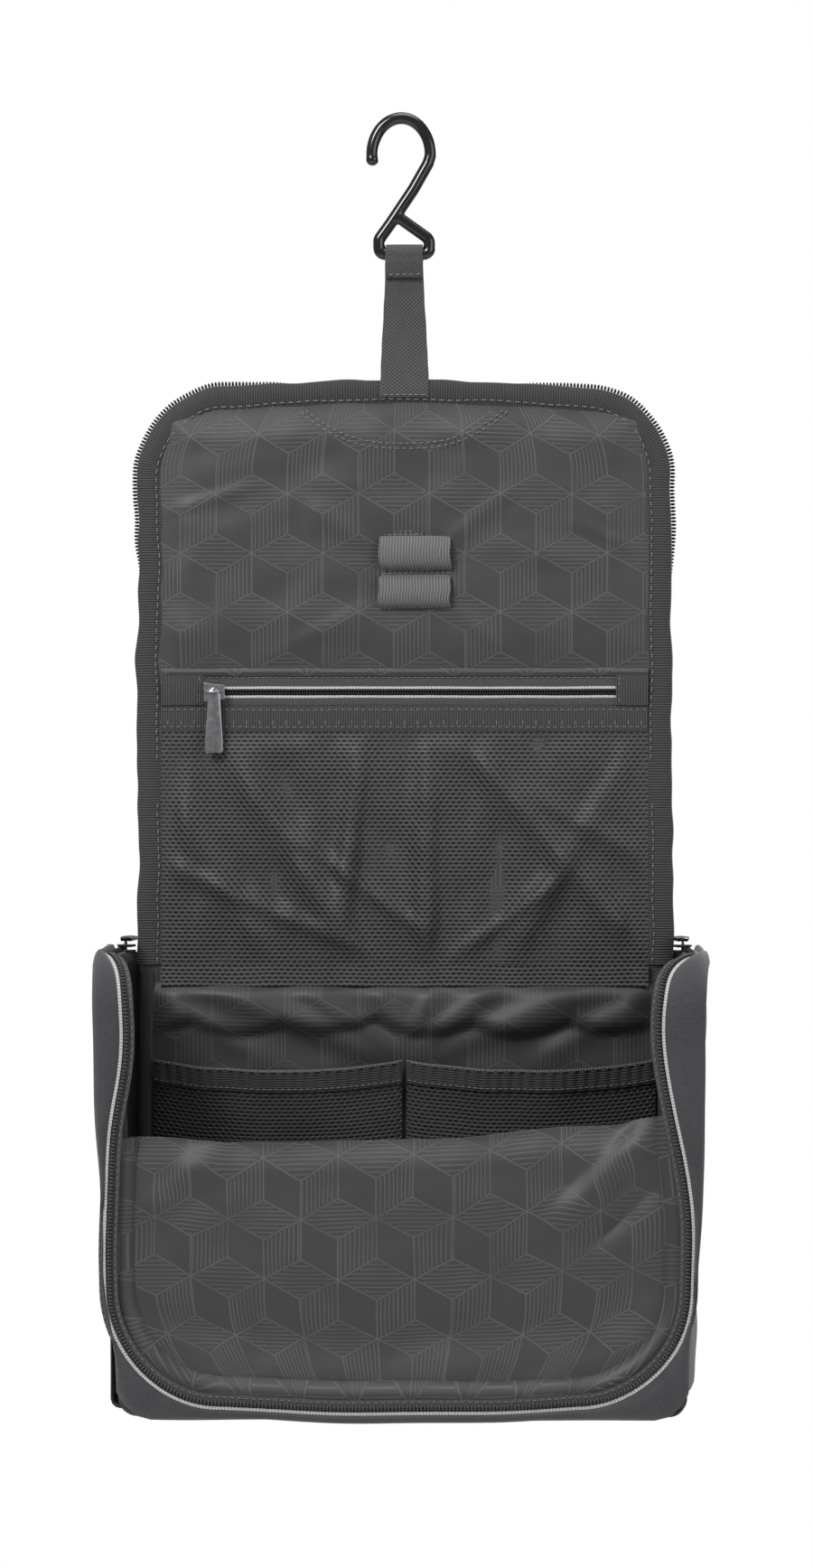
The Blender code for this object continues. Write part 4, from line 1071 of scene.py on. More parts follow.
def makeLoops():
    top, foot = loops["high"].z, loops["low"].z
    left, right = loops["low"].x, loops["high"].x
    pitch = (top - foot - loops["sewn"]) / 2
    rows = [top - loops["sewn"] / 2, top - loops["sewn"] / 2 - pitch, foot + loops["sewn"] / 2]

    def place(u, v):
        z = top - (top - foot) * v
        x = left + (right - left) * u
        rise = 0.0
        for a, b in zip(rows, rows[1:]):
            start, end = a - loops["sewn"] / 2, b + loops["sewn"] / 2
            if end < z < start:
                share = (start - z) / (start - end)
                rise = loops["rise"] * math.sin(math.pi * share) ** 0.6 * (
                    0.86 + 0.14 * math.sin(math.pi * u)
                )
                z -= 0.0016 * math.sin(math.pi * share) - 0.0009 * math.sin(2 * math.pi * share)
        x += 0.0011 * waver((0, 0, z), 0.007, 1.0) + (0.0006 if rise > 0.002 else -0.0003) * (2 * u - 1)
        return Vector((x, 0.0008 - rise, z))

    obj = clothGrid("toothbrush_elastic", 24, 90, place, (right - left, 0.062))
    thick(obj, 0.0010, 0.0)
    applied(obj, "BEVEL", width=0.0003, segments=2, limit_method="ANGLE", angle_limit=math.radians(60))
    finished(obj, "lid_front", finish["elastic"], "elastic", ("toothbrush_loops",))
    lines = []
    for z in rows:
        for lift in (-0.0008, 0.0007):
            lines.append([
                Vector((left + 0.0005, -0.0003, z + lift)),
                Vector((right + 0.0006, -0.0003, z + lift + 0.0004))
            ])
    stitches("loop_stitches", lines, ahead, 0.0019, 0.0006, 0.0008, "lid_front", "elastic")


pocket = {
    "left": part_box("pocket_zip_coil_upper")[0].x, "right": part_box("pocket_zip_coil_upper")[1].x,
    "top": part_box("pocket_zip_tape_upper")[1].z, "foot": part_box("pocket_zip_tape_lower")[0].z,
    "side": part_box("pocket_top_band")[1].x, "bandTop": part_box("pocket_top_band")[1].z,
}


def flatStrip(
    name, x0, x1, z0, z1, y, body, finishName, slot, replaced=(), thickness=0.0006, drop=0.0,
    columns=90, rows=6
):
    def place(u, v):
        x, z = x0 + (x1 - x0) * u, z0 + (z1 - z0) * v
        wander = 0.0003 * waver((x, 0, z), 0.03, 1.0, 6.0)
        curl = drop * math.sin(math.pi * v)
        return Vector((x, y - curl + waver((x, 0, z), 0.025, 0.00025, 2.0), z + wander))

    obj = clothGrid(name, columns, rows, place, (abs(x1 - x0), abs(z1 - z0)))
    thick(obj, thickness, 0.0)
    return finished(obj, body, finish[finishName], slot, replaced)


def makePocketZip():
    z = level["zip"]
    left, right = pocket["left"], pocket["right"]
    flatStrip(
        "pocket_tape_upper", left - 0.002, right + 0.002, z + 0.0012, pocket["top"], 0.0013,
        "lid_front", "tape", "zip_tape", ("pocket_zip_tape_upper",), drop=0.0004
    )
    flatStrip(
        "pocket_tape_lower", left - 0.002, right + 0.002, pocket["foot"], z - 0.0012, 0.0013,
        "lid_front", "tape", "zip_tape", ("pocket_zip_tape_lower",), drop=0.0003
    )
    for name, side in (("upper", 1), ("lower", -1)):
        middle = z + side * 0.00205
        flatStrip(
            "pocket_stripe_" + name, left, right, middle - 0.00055, middle + 0.00055, 0.0008,
            "lid_front", "stripe", "zip_tape", (), 0.0004, 0.0001, 90, 2
        )
        line = [Vector((left + (right - left) * i / 60, 0.0008, z + side * 0.0007)) for i in range(61)]
        coilAlong(
            "pocket_coil_" + name, line, lambda p: ahead, 0.0012, 0.0018, 0.0016, "lid_front",
            ("pocket_zip_coil_" + name,), lambda p, along, up: Vector((0, 0, 1)),
        )
    for name, x0, x1 in (
        ("left", -pocket["side"], left + 0.001), ("right", right - 0.001, pocket["side"])
    ):
        flatStrip(
            "pocket_tab_" + name, x0, x1, pocket["foot"], pocket["top"], 0.0004, "lid_front", "band",
            "outer_fabric", ("pocket_zip_tab_" + name,), 0.0012, 0.0005, 16, 8
        )
        row = x1 - 0.0015 if name == "left" else x0 + 0.0015
        lines = [[
            Vector((row, -0.0005, pocket["foot"] + 0.001)),
            Vector((row, -0.0005, pocket["top"] - 0.001))
        ]]
        stitches(
            "pocket_tab_stitches_" + name, lines, ahead, 0.0018, 0.0007, 0.0005, "lid_front",
            "outer_fabric"
        )
    flatStrip(
        "pocket_fold", -pocket["side"], pocket["side"], pocket["top"] - 0.0006, pocket["top"] + 0.0026,
        0.0006, "lid_front", "lining", "lining_fabric", (), 0.0010, 0.0009, 90, 5
    )
    flatStrip(
        "pocket_band", -pocket["side"], pocket["side"], level["bandFoot"], pocket["bandTop"], 0.0010,
        "lid_front", "band", "grosgrain", ("pocket_top_band",), 0.0008, 0.0004, 110, 6
    )
    lines = []
    for share in (0.16, 0.84):
        row = level["bandFoot"] + (pocket["bandTop"] - level["bandFoot"]) * share
        lines.append([
            Vector((
                -pocket["side"] + pocket["side"] * 2 * i / 40, 0.0002,
                row + waver((i, 0, 0), 7.0, 0.0004)
            ) )
            for i in range(41)
        ])
    count = 37
    for i in range(count):
        x = -pocket["side"] + 2 * pocket["side"] * (i + 0.5) / count
        lines.append([
            Vector((x, 0.0002, level["bandFoot"] + 0.002)),
            Vector((x, 0.0002, level["bandFoot"] + 0.0055))
        ])
    stitches("band_stitches", lines, ahead, 0.0023, 0.0009, 0.0005)
    tapeRow = [
        Vector((left + (right - left) * i / 40, 0.0003, pocket["top"] - 0.0016)) for i in range(41)
    ]
    stitches("pocket_zip_stitches", [tapeRow], ahead, 0.0022, 0.0009, 0.00045, "lid_front", "zip_tape")


makeLidZip()
makePatch()
makeLoops()
makePocketZip()
print("stage 5: lid zip, patch, loops and pocket made")


# ---- box: one path that its zip, its margin and its front wall follow

box = {
    "half": 0.124, "fold": 0.016, "frontY": -0.08625,
    "hinge": -0.3910, "foot": -0.5760, "arch": 0.0028, "corner": 0.042,
    "outerHalf": 0.136, "rearHalf": 0.1335, "outerFoot": -0.588, "outerCorner": 0.008, "rearY": 0.0064,
}


def pinch(x, y, z, amount):  # the soft walls lean in towards the top of the front, and less lower down
    reach = smoothStep(-y, 0.062, 0.091)
    lean = smoothStep(-z, 0.41, 0.585) * smoothStep(-y, 0.0, 0.075)
    left = 0.0100 * bump(z, -0.414, 0.048) * amount * reach + lean * (0.0125 - 0.0085 * amount)
    right = 0.0175 * bump(z, -0.416, 0.056) * amount * reach + lean * (0.0100 - 0.0045 * amount)
    return (left if x < 0 else -right) * smoothStep(abs(x), 0.03, 0.12)


def soften(point, amount=1.0):
    p = Vector(point)
    p.x += pinch(p.x, p.y, p.z, amount)
    p.y += waver(p, 0.045, 0.0014, 11.0) * smoothStep(-p.y, 0.02, 0.06)
    p.x += waver(
        p, 0.04, 0.0012, 14.0
    ) * smoothStep(abs(p.x), 0.05, 0.12) * smoothStep(-p.z, 0.395, 0.42)
    p.z += waver(p, 0.05, 0.0009, 17.0) * smoothStep(-p.y, 0.02, 0.07)
    return p


# (point, out, up) from the left hinge forward, down, round and back to the right hinge
def boxPath(step=0.004):
    half, fold, corner = box["half"], box["fold"], box["corner"]
    left = []
    run = -box["frontY"] - fold
    count = round(run / step)
    for i in range(count):
        left.append((
            Vector((-half, level["axisY"] - 0.0004 - run * i / count, box["hinge"])),
            Vector((-1, 0, 0)), Vector((0, 0, 1))
        ))
    centre = Vector((-half, box["frontY"] + fold, box["hinge"] - fold))
    for i in range(12):
        t = math.radians(90 * i / 12)
        up = Vector((0, -math.sin(t), math.cos(t)))
        left.append((centre + up * fold, Vector((-1, 0, 0)), up))
    high, low = box["hinge"] - fold, box["foot"] + box["arch"] + corner
    count = round((high - low) / step)
    for i in range(count):
        left.append((
            Vector((-half, box["frontY"], high - (high - low) * i / count)), Vector((-1, 0, 0)), ahead
        ))
    for i in range(18):
        t = math.radians(90 * i / 18)
        out = Vector((-math.cos(t), 0, -math.sin(t)))
        left.append((Vector((-half + corner, box["frontY"], low)) + out * corner, out, ahead))
    flat = half - corner
    count = round(flat / step)
    for i in range(count):
        x = -flat * (1 - i / count)
        left.append((
            Vector((x, box["frontY"], box["foot"] + box["arch"] * (x / flat) ** 2)), Vector((0, 0, -1)),
            ahead
        ))
    middle = [(Vector((0, box["frontY"], box["foot"])), Vector((0, 0, -1)), ahead)]
    mirror = [(Vector((-p.x, p.y, p.z)), Vector((-o.x, o.y, o.z)), u) for p, o, u in reversed(left)]
    return left + middle + mirror


# the path moved out and up, softened, with directions made again
def softPath(outward, height, step=0.004):
    raw = [(soften(p + o * outward + u * height), o, u) for p, o, u in boxPath(step)]
    made = []
    for i, (point, out, up) in enumerate(raw):
        a, b = raw[max(0, i - 1)][0], raw[min(len(raw) - 1, i + 1)][0]
        along = (b - a).normalized()
        side = (out - along * out.dot(along)).normalized()
        made.append((point, side, (up - along * up.dot(along)).normalized()))
    return made


# how far it is to the outer corner's outline on the front, or to the side on top
def reachOut(point, out):
    half = box["outerHalf"] - (box["outerHalf"] - box["rearHalf"]) * min(
        1, max(0, (point.y + 0.09015) / 0.0973)
    )
    low, high = 0.0, 0.03
    for _ in range(24):
        middle = (low + high) / 2
        x, z = abs(point.x + out.x * middle), point.z + out.z * middle
        dx, dz = x - (half - box["outerCorner"]), (box["outerFoot"] + box["outerCorner"]) - z
        outside = (
            math.hypot(max(dx, 0), max(dz, 0)) > box["outerCorner"] if dx > 0 and dz > 0 else x > half
            or z < box["outerFoot"]
        )
        low, high = (low, middle) if outside else (middle, high)
    return low


def makeMargin():
    path = boxPath(0.003)
    rows = [
        (0.0, 0.0064), (0.12, 0.0074), (0.3, 0.0080), (0.5, 0.0078), (0.75, 0.0068), (0.9, 0.0054),
        (1.0, 0.0036)
    ]

    def place(u, v):
        point, out, up = path[round(u * (len(path) - 1))]
        share, height = rows[round(v * (len(rows) - 1))]
        reach = max(reachOut(point, out), 0.0136)
        start = 0.0113
        wide = start + (reach + 0.0002 - start) * share
        curl = 0.0011 * (1 - smoothStep(-point.y, 0.0, 0.07)) * math.sin(math.pi * share)
        lump = waver(point + out * wide, 0.018, 0.0010, 21.0) * math.sin(math.pi * share)
        return soften(point + out * wide + up * (height + curl + lump), 1 - 0.85 * share)

    obj = clothGrid("box_margin", len(path) - 1, len(rows) - 1, place, (0.62, 0.02))
    thick(obj, 0.0009, -1.0)
    finished(obj, "box", finish["outer"], "outer_fabric", ("front_margin",))


# s from the left top round the bottom to the right top; t from back to front
def gussetPoint(s, t, inset=0.0, top=-0.3871):
    y = box["rearY"] + (-0.0901 - box["rearY"]) * t
    half = box["rearHalf"] + (box["outerHalf"] - box["rearHalf"]) * t - inset
    corner = max(0.004, box["outerCorner"] - inset)
    centreY = box["frontY"] + box["fold"]
    high = top
    if y < centreY:
        high = (
            box["hinge"] - box["fold"] + math.sqrt(max(0.0, 0.0204**2 - (centreY - y) ** 2))
            + (top + 0.3866)
        )
    foot = box["outerFoot"] + inset + 0.0012 * (1 - t)
    side, bend, flat = high - foot - corner, corner * math.pi / 2, half - corner
    far = s * 2 if s <= 0.5 else 2 - s * 2
    run = far * (side + bend + flat)
    if run < side:
        x, z, out = half, high - run, (1, 0)
    elif run < side + bend:
        a = (run - side) / corner
        x, z, out = half - corner + corner * math.cos(a), foot + corner - corner * math.sin(a), (
            math.cos(a), -math.sin(a)
        )
    else:
        x, z, out = flat - (run - side - bend), foot, (0, -1)
    hand = -1 if s <= 0.5 else 1
    return Vector((x * hand, y, z)), Vector((out[0] * hand, 0, out[1]))


def makeGusset():
    def place(u, v):
        point, out = gussetPoint(u, v)
        inner = smoothStep(v, 0.0, 0.12) * (1 - smoothStep(v, 0.88, 1.0))
        upper = smoothStep(-point.z, 0.387, 0.40)
        puff = 0.0016 * inner * (0.3 + 0.7 * upper) * (1 if abs(out.x) > 0.5 else 0.1)
        dent = 0.0016 * waver(point, 0.05, 1.0, 31.0) + 0.0007 * waver(point, 0.018, 1.0, 33.0)
        curl = 0.0012 * bump(-point.z, 0.3885, 0.0035) if abs(out.x) > 0.5 else 0.0
        return soften(
            point + out * (puff - 0.0006 + inner * dent * (1 if abs(out.x) > 0.5 else 0.3) + curl), 0.15
        )

    obj = clothGrid("box_gusset", 300, 44, place, (0.62, 0.097))
    thick(obj, 0.0009, -1.0)
    mend(obj)
    finished(
        obj, "box", finish["outer"], "outer_fabric",
        ("side_panel_left", "side_panel_right", "bottom_panel", "bottom_board")
    )

    def inside(u, v):
        point, out = gussetPoint(u, v * 0.97 + 0.02, 0.0032, -0.3890)
        inner = smoothStep(v, 0.0, 0.15) * (1 - smoothStep(v, 0.85, 1.0))
        fold = 0.0018 * waver(point, 0.028, 1.0, 41.0) + 0.0008 * waver(point, 0.011, 1.0, 43.0)
        return soften(point - out * (0.0008 + inner * (0.0012 + fold)))

    lining = clothGrid("box_gusset_lining", 260, 40, inside, (0.60, 0.095))
    thick(lining, 0.0006, 0.0)
    mend(lining)
    # the inner side lining takes the darker lining copy: painted shade
    finished(
        lining, "box", finish["liningSideShaded"], "lining_fabric",
        ("side_lining_left", "side_lining_right", "bottom_lining")
    )


def makeBackSkin():
    def place(u, v):
        high, low = -0.3850, -0.5866
        z = low + (high - low) * v
        half = 0.1338
        rise = min(max(low + 0.008 - z, 0.0), 0.0079)
        half -= 0.008 - math.sqrt(0.008**2 - rise**2)
        x = (2 * u - 1) * half
        edge = min(half - abs(x), z - low)
        puff = 0.0014 * smoothStep(edge, 0.002, 0.03) * (1 - smoothStep(z, -0.41, -0.39))
        return Vector((
            x, 0.0066 + puff + waver((x, 0, z), 0.06, 0.0010, 51.0) * smoothStep(edge, 0.004, 0.02), z
        ))

    obj = clothGrid("box_back", 70, 70, place, (0.268, 0.2))
    thick(obj, 0.0009, -1.0)
    mend(obj)
    joint = ("lid_top", "box", (0, 0, box["hinge"] + 0.005), (0, 0, box["hinge"] - 0.005))
    finished(obj, joint, finish["outer"], "outer_fabric", ("back_panel", "back_board"))


def makeBoxZip():
    def strip(name, wide, height, thickness, material, slot, replaced=()):
        frames = softPath((wide[0] + wide[1]) / 2, height, 0.0035)
        half = (wide[1] - wide[0]) / 2
        section = [(-half, 0.0), (half, 0.0), (half, thickness), (-half, thickness)]
        return finished(sweep(name, frames, section), "box", finish[material], slot, replaced)

    strip("box_zip_band", (0.0042, 0.0124), 0.0060, 0.0006, "tape", "zip_tape", ("box_zip_tape",))
    strip("box_zip_stripe", (0.0093, 0.0107), 0.0068, 0.0005, "stripe", "zip_tape")
    line = softPath(0.0076, 0.0078, 0.0035)
    points = [p for p, _, _ in line]

    def nearest(point):
        return min(line, key=lambda f: (f[0] - point).length_squared)

    base = toothBase(0.0026, 0.0022)
    places = []
    for point, along in spaced(points, teeth["pitch"]):
        _, out, up = nearest(point)
        places.append((point, along, out, up))
    coil = copies("box_zip_teeth", base, places)
    bpy.data.objects.remove(base)
    # the box's teeth take the lighter nylon copy: painted light
    finished(coil, "box", finish["coil"], "zip_coil", ("box_zip_coil",), 80)
    for name, outward in (("inner", 0.0052), ("outer", 0.0118)):
        row = softPath(outward, 0.0069, 0.0035)
        stitches(
            "box_zip_stitches_" + name, [[p for p, _, _ in row]], lambda p: nearest(p)[2], 0.0022,
            0.0010, 0.00045, "box", "zip_tape"
        )


makeMargin()
makeGusset()
makeBackSkin()
makeBoxZip()
print("stage 6: box shell and zip made")


# ---- box: padded front wall, back lining, mesh pockets and seam tapes

wall = {"out": 0.0060, "topLeft": -0.4640, "topRight": -0.4545, "sag": 0.0065, "thickness": 0.0046}


def wallHalfAt(z):
    corner = box["corner"] + wall["out"]
    foot = box["foot"] + box["arch"] - wall["out"]
    rise = min(max(foot + corner - z, 0.0), corner * 0.9999)
    return box["half"] + wall["out"] - corner + math.sqrt(corner**2 - rise**2)


def wallPoint(u, v):
    x = (2 * u - 1) * (box["half"] + wall["out"])
    share = x / (box["half"] + wall["out"])
    high = (
        wall["topLeft"] + (wall["topRight"] - wall["topLeft"]) * (share + 1) / 2
        - wall["sag"] * (1 - share**2) + waver((x, 0, 0), 0.035, 0.0016, 61.0)
    )
    foot = box["foot"] + box["arch"] - wall["out"] + 0.0002
    z = foot + (high - foot) * v
    x = (2 * u - 1) * wallHalfAt(z)
    flat = box["half"] - box["corner"]
    return x, z - box["arch"] * (1 - min(1, abs(x) / flat) ** 2) * (1 - v), high


wallCreases = [
    ((0.075, -0.500), (0.118, -0.462), 0.006, 0.0034),
    ((0.088, -0.512), (0.124, -0.482), 0.005, -0.0022),
    ((-0.122, -0.500), (-0.085, -0.474), 0.006, 0.0016),
    ((0.010, -0.478), (0.030, -0.545), 0.010, 0.0010),
]


def rimDistance(x, z):  # how far a point of the wall is from its sewn rim
    flat, corner = box["half"] - box["corner"], box["corner"] + wall["out"]
    foot = box["foot"] + box["arch"] - wall["out"]
    if abs(x) < flat:
        below = z - foot + box["arch"] * (1 - (x / flat) ** 2)
    else:
        below = corner - math.hypot(abs(x) - flat, max(0.0, foot + corner - z))
    return max(0.0, min(below, flat + corner - abs(x)))


def makeFrontWall():
    def place(u, v):
        x, z, high = wallPoint(u, v)
        side = rimDistance(x, z)
        edge = smoothStep(side, 0.0035, 0.0070)
        upper = 1 - smoothStep(high - z, 0.0, 0.014)
        y = -0.0839 + 0.0042 * edge + 0.0036 * smoothStep(side, 0.007, 0.032) + 0.0030 * upper * edge
        fold = 0.0019 * waver((x, 0, z), 0.042, 1.0, 63.0) + 0.0007 * waver((x, 0, z), 0.015, 1.0, 64.0)
        fold += ridges(x, z, wallCreases)
        return soften((x, y - fold * smoothStep(side, 0.002, 0.02), z))

    obj = clothGrid("front_wall", 170, 96, place, (0.260, 0.120))
    thick(obj, wall["thickness"], 1.0)
    applied(obj, "BEVEL", width=0.0017, segments=4, limit_method="ANGLE", angle_limit=math.radians(60))
    finished(
        obj, "box", finish["lining"], "lining_fabric",
        ("front_wall_face", "front_wall_foam", "front_wall_inside")
    )


backCreases = [
    ((-0.105, -0.394), (-0.012, -0.432), 0.006, 0.0032),
    ((0.103, -0.394), (0.014, -0.432), 0.006, 0.0030),
    ((-0.060, -0.392), (-0.004, -0.430), 0.0045, 0.0026),
    ((0.052, -0.392), (0.006, -0.430), 0.0045, 0.0026),
    ((-0.112, -0.408), (-0.070, -0.432), 0.005, 0.0020),
    ((0.112, -0.406), (0.066, -0.432), 0.005, 0.0022),
    ((-0.016, -0.392), (0.000, -0.428), 0.004, 0.0022),
    ((0.020, -0.392), (0.000, -0.428), 0.004, 0.0018),
]


def makeBackLining():
    half, high, low = 0.1235, -0.3852, -0.5840

    def place(u, v):
        x, z = (2 * u - 1) * half, low + (high - low) * v
        below = smoothStep(-z, 0.3995, 0.4045)
        brim = (
            0.4125 + 0.0050 * abs(math.sin(math.pi * (x + 0.012) / 0.044))
            + waver((x, 0, 0), 0.03, 0.0022, 75.0)
        )
        shelf = 0.0048 * (1 - smoothStep(-z, brim, brim + 0.007))
        side = smoothStep(half - abs(x), 0.0, 0.02)
        puff = 0.0034 * side * below * (0.55 + 0.45 * math.sin(math.pi * (abs(x) / 0.118)) ** 2)
        fold = ridges(x, z, backCreases) + waver((x, 0, z * 1.5), 0.024, 0.0016, 71.0)
        return Vector((x, 0.0030 - puff * 0.5 - (shelf + fold * 0.8) * side * below, z))

    obj = clothGrid("back_lining_padded", 150, 110, place, (2 * half, high - low))
    thick(obj, 0.0010, 1.0)
    joint = ("lid_top", "box", (0, 0, box["hinge"] + 0.005), (0, 0, box["hinge"] - 0.005))
    # the back lining takes the darker lining copy: painted shade
    finished(obj, joint, finish["liningShaded"], "lining_fabric", ("back_lining",))


inner = {
    "side": 0.1165, "middle": 0.0012, "high": -0.4345, "foot": -0.5806, "sag": 0.0048, "bulge": 0.0095,
    "band": 0.0105
}


def makeBoxPockets():
    for name, hand in (("left", -1), ("right", 1)):
        wide = inner["side"] - inner["middle"]

        def shape(u, v, lift=0.0):
            far = math.sin(math.pi * u)
            x = hand * (inner["middle"] + wide * u)
            high = inner["high"] - inner["sag"] * far**0.8 + 0.0007 * waver((x, 0, 0), 0.02, 1.0, 81.0)
            z = inner["foot"] + (high - inner["foot"]) * v
            out = 0.0030 + inner["bulge"] * far**0.7 * (0.55 + 0.45 * v)
            out += 0.0016 * waver((x, 0, z), 0.022, 1.0, 83.0) * far
            return Vector((x, 0.0010 - out - lift, z)), high

        def net(u, v):
            return shape(u, v * 0.965)[0]

        obj = clothGrid("box_net_" + name, 80, 90, net, (wide, inner["high"] - inner["foot"]))
        thick(obj, 0.0005, 0.0)
        # the nets take the darker mesh copy: painted shade
        finished(obj, "box", finish["meshShaded"], "mesh_fabric", ("box_pocket_" + name,))
        band = inner["band"] / (inner["high"] - inner["foot"])

        def elastic(u, v):
            point = shape(u, 1 - band * (1 - v), 0.0009)[0]
            point.y -= 0.0005 * math.sin(2 * math.pi * u * 23)
            return point

        strip = clothGrid("box_elastic_" + name, 120, 8, elastic, (wide, inner["band"]))
        for loop in strip.data.uv_layers[0].data:
            loop.uv = (loop.uv.y, loop.uv.x)
        thick(strip, 0.0010, 0.0)
        applied(
            strip, "BEVEL", width=0.0003, segments=2, limit_method="ANGLE", angle_limit=math.radians(60)
        )
        # the band takes the darker elastic copy: painted shade
        finished(strip, "box", finish["elasticShaded"], "elastic", ("pocket_elastic_" + name,))
        edge = [shape(i / 60, 0.998, 0.0013)[0] for i in range(61)]
        row = [shape(i / 60, 1 - band * 0.86, 0.0020)[0] for i in range(61)]
        stitches("box_elastic_stitches_" + name, [row], ahead, 0.0020, 0.0009, 0.0005, "box", "elastic")
        piping = sweep(
            "box_elastic_edge_" + name, [(p, ahead, Vector((0, 0, 1))) for p in edge],
            [(-0.0006, -0.0005), (0.0005, -0.0005), (0.0005, 0.0005), (-0.0006, 0.0005)]
        )
        finished(piping, "box", finish["elastic"], "elastic")


def makeSeamTapes():
    for name, hand in (("left", -1), ("right", 1)):
        frames = []
        for i in range(60):
            z = -0.3935 - 0.1835 * i / 59
            x = hand * (0.1200 + 0.0007 * waver((0, 0, z), 0.03, 1.0, 91.0))
            frames.append((Vector((x, -0.0006, z)), Vector((hand, 0, 0)), ahead))
        tape = sweep(
            "box_seam_tape_" + name, frames,
            [(-0.0030, -0.0012), (-0.0022, 0.0006), (0.0, 0.0014), (0.0022, 0.0008), (0.0032, -0.0012)]
        )
        finished(tape, "box", finish["tapeDark"], "grosgrain", ("seam_tape_" + name,))


makeFrontWall()
makeBackLining()
makeBoxPockets()
makeSeamTapes()
print("stage 7: front wall, lining and pockets made")


# ---- zip sliders and their pulls

# a rounded block in its own directions
def block(name, size, bevel, centre, side, along, up, taper=0.0, waist=0.0):
    deselectAll()
    bpy.ops.mesh.primitive_cube_add(size=1)
    obj = fresh(name)
    editAll(obj, lambda: bpy.ops.mesh.subdivide(number_cuts=6))
    for vert in obj.data.vertices:
        a, b, c = vert.co
        narrow = (1 - taper * (0.5 + b)) * (1 - waist * math.cos(math.pi * b))
        vert.co = centre + side * (a * size[0] * narrow) + along * (b * size[1]) + up * (c * size[2])
    mend(obj)
    applied(obj, "BEVEL", width=bevel, segments=3, limit_method="ANGLE", angle_limit=math.radians(40))
    return obj


def merged(name, objects):
    deselectAll()
    for obj in objects:
        obj.select_set(True)
    bpy.context.view_layer.objects.active = objects[0]
    bpy.ops.object.join()
    return fresh(name)


def makeSlider(name, body, centre, side, along, up, scale, replaced, metal="metal"):
    made = []
    for lift, high in ((0.00125, 0.0011), (-0.00125, 0.0011)):
        made.append(block(
            name + "_plate", (0.0088 * scale, 0.0092 * scale, high), 0.00035, centre + up * lift, side,
            along, up, 0.28, 0.06
        ))
    made.append(block(
        name + "_post", (0.0018, 0.0022, 0.0020), 0.0002, centre + along * 0.0028 * scale, side, along,
        up
    ))
    points = []
    for i in range(15):
        t = math.pi * i / 14
        points.append(
            centre + along * (0.0030 * scale * math.cos(t))
            + up * (0.0016 + 0.0019 * math.sin(t) ** 0.7)
        )
    made.append(tube(name + "_bridge", points, 0.00055, 6))
    obj = merged(name, made)
    return finished(obj, body, finish[metal], "slider_metal", replaced, 35)


# a flat drop: a ring at the top, wider at its foot
def makePull(name, body, hang, side, down, up, length, widths, replaced, metal="metal"):
    rows = 30
    outline = []
    for i in range(rows + 1):
        share = i / rows
        wide = widths[0] + (widths[1] - widths[0]) * smoothStep(share, 0.05, 0.95)
        if share < 0.12:
            wide *= math.sqrt(max(0.0, 1 - (1 - share / 0.12) ** 2)) * 0.999 + 0.001
        if share > 0.95:
            wide *= 0.82 + 0.18 * math.sqrt(max(0.0, 1 - ((share - 0.95) / 0.05) ** 2))
        outline.append((share * length, wide / 2))

    def place(u, v):
        run, half = outline[round(v * rows)]
        return hang + down * run + side * ((2 * u - 1) * half) + up * 0.0004 * (1 - (2 * u - 1) ** 2)

    obj = clothGrid(name, 16, rows, place, (widths[1], length))
    thick(obj, 0.0015, 0.0)
    mend(obj)
    deselectAll()
    bpy.ops.mesh.primitive_cylinder_add(vertices=24, radius=widths[0] * 0.26, depth=0.01)
    cutter = fresh(name + "_hole")
    centre = hang + down * length * 0.13
    for vert in cutter.data.vertices:
        a, b, c = vert.co
        vert.co = centre + side * a + down * b * 1.3 + up * c
    editAll(cutter, lambda: bpy.ops.mesh.normals_make_consistent(inside=False))
    applied(obj, "BOOLEAN", object=cutter, operation="DIFFERENCE", solver="EXACT")
    bpy.data.objects.remove(cutter)
    applied(obj, "BEVEL", width=0.0003, segments=3, limit_method="ANGLE", angle_limit=math.radians(50))
    return finished(obj, body, finish[metal], "slider_metal", replaced, 35)


def makeSliders():
    low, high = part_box("pocket_slider")
    centre = Vector(((low.x + high.x) / 2, -0.0026, level["zip"]))
    right, up = Vector((1, 0, 0)), Vector((0, 0, 1))
    makeSlider("pocket_zip_slider", "pocket_slider", centre, up, right, ahead, 1.05, ("pocket_slider",))
    low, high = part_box("pocket_pull")
    hang = Vector(((low.x + high.x) / 2, (low.y + high.y) / 2, high.z))
    makePull(
        "pocket_zip_pull", "pocket_pull", hang, right, Vector((0, 0, -1)), ahead, high.z - low.z,
        (0.0052, 0.0080), ("pocket_pull",)
    )
    for name, hand in (("left", -1), ("right", 1)):
        # the main zip's sliders and pulls take the darker copy of the slider metal
        low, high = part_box("main_slider_" + name)
        centre = Vector((hand * 0.1289, (low.y + high.y) / 2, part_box("box_zip_coil")[1].z - 0.0011))
        makeSlider(
            "main_zip_slider_" + name, "main_slider_" + name, centre, right, ahead, up, 1.0,
            ("main_slider_" + name,), "metalDark"
        )
        low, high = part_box("main_pull_" + name)
        hang = Vector(((low.x + high.x) / 2, low.y, (low.z + high.z) / 2))
        makePull(
            "main_zip_pull_" + name, "main_pull_" + name, hang, right, Vector((0, 1, 0)), up,
            high.y - low.y, (0.0052, 0.0080), ("main_pull_" + name,), "metalDark"
        )


makeSliders()
print("stage 8: sliders and pulls made")


# ---- floor, light and camera

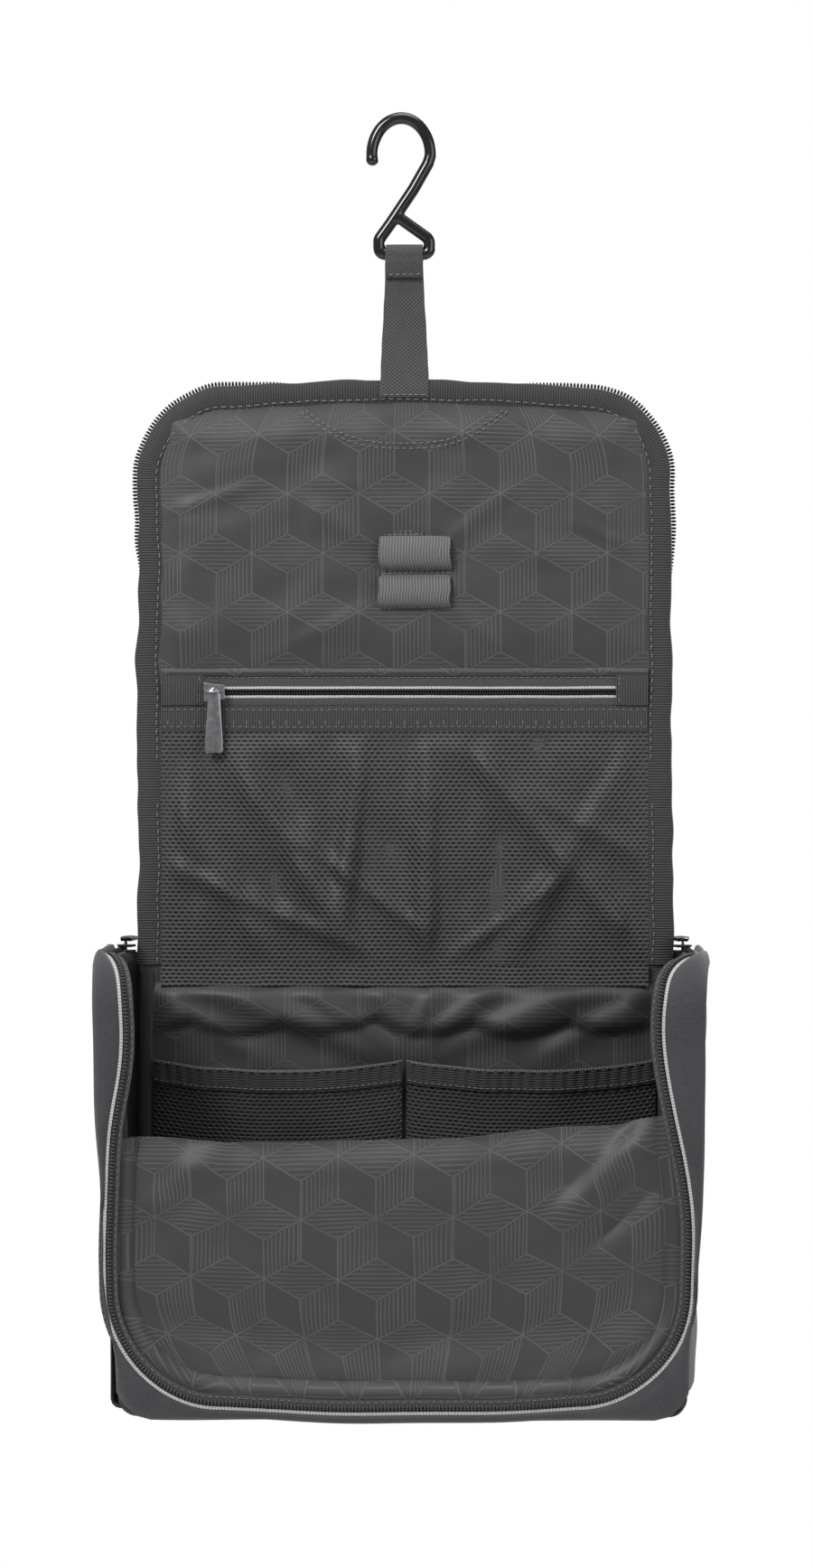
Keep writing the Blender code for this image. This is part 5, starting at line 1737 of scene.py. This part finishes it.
def makeStage():
    deselectAll()
    bpy.ops.mesh.primitive_plane_add(size=4.2, location=(0, 0, -1.25))
    floor = fresh("floor")
    pale = bpy.data.materials.new("pale_floor")
    pale.use_nodes = True
    pale.node_tree.nodes["Principled BSDF"].inputs["Base Color"].default_value = (0.86, 0.86, 0.86, 1)
    pale.node_tree.nodes["Principled BSDF"].inputs["Roughness"].default_value = 0.9
    floor.data.materials.append(pale)
    world = bpy.data.worlds.new("studio")
    bpy.context.scene.world = world
    world.use_nodes = True
    backdrop = world.node_tree.nodes["Background"]
    backdrop.inputs["Color"].default_value = (1, 1, 1, 1)
    seen = world.node_tree.nodes.new("ShaderNodeLightPath")
    wire(
        world.node_tree, spread(world.node_tree, seen.outputs["Is Camera Ray"], 0.0, 1.0, 0.33, 1.0),
        backdrop.inputs["Strength"]
    )
    lamps = (  # name, place, size, watts
        ("key", (-0.9, -1.4, 0.9), 0.8, 38),
        ("fill", (1.3, -1.4, 0.0), 1.2, 10),
        ("top", (0.1, -0.2, 1.2), 1.0, 12),
        ("rim", (0.9, 1.6, 0.6), 1.2, 22),
    )
    aim = Vector((0, 0, -0.33))
    for name, place, size, watts in lamps:
        data = bpy.data.lights.new(name, "AREA")
        data.size, data.energy = size, watts
        lamp = bpy.data.objects.new(name, data)
        lamp.location = place
        lamp.rotation_euler = (aim - Vector(place)).to_track_quat("-Z", "Y").to_euler()
        bpy.context.scene.collection.objects.link(lamp)


view = {"place": (0.040, -2.0, -0.3067), "aim": (0.001, 0, -0.3067), "height": math.radians(20.65)}


def makeCamera():
    data = bpy.data.cameras.new("camera")
    data.angle = view["height"]
    data.clip_start = 0.05
    camera = bpy.data.objects.new("camera", data)
    camera.location = view["place"]
    camera.rotation_euler = (
        Vector(view["aim"]) - Vector(view["place"])
    ).to_track_quat("-Z", "Y").to_euler()
    bpy.context.scene.collection.objects.link(camera)
    bpy.context.scene.camera = camera


makeStage()
makeCamera()
bpy.context.scene.view_settings.view_transform = "Standard"
print("stage 9: stage, lights and camera made")
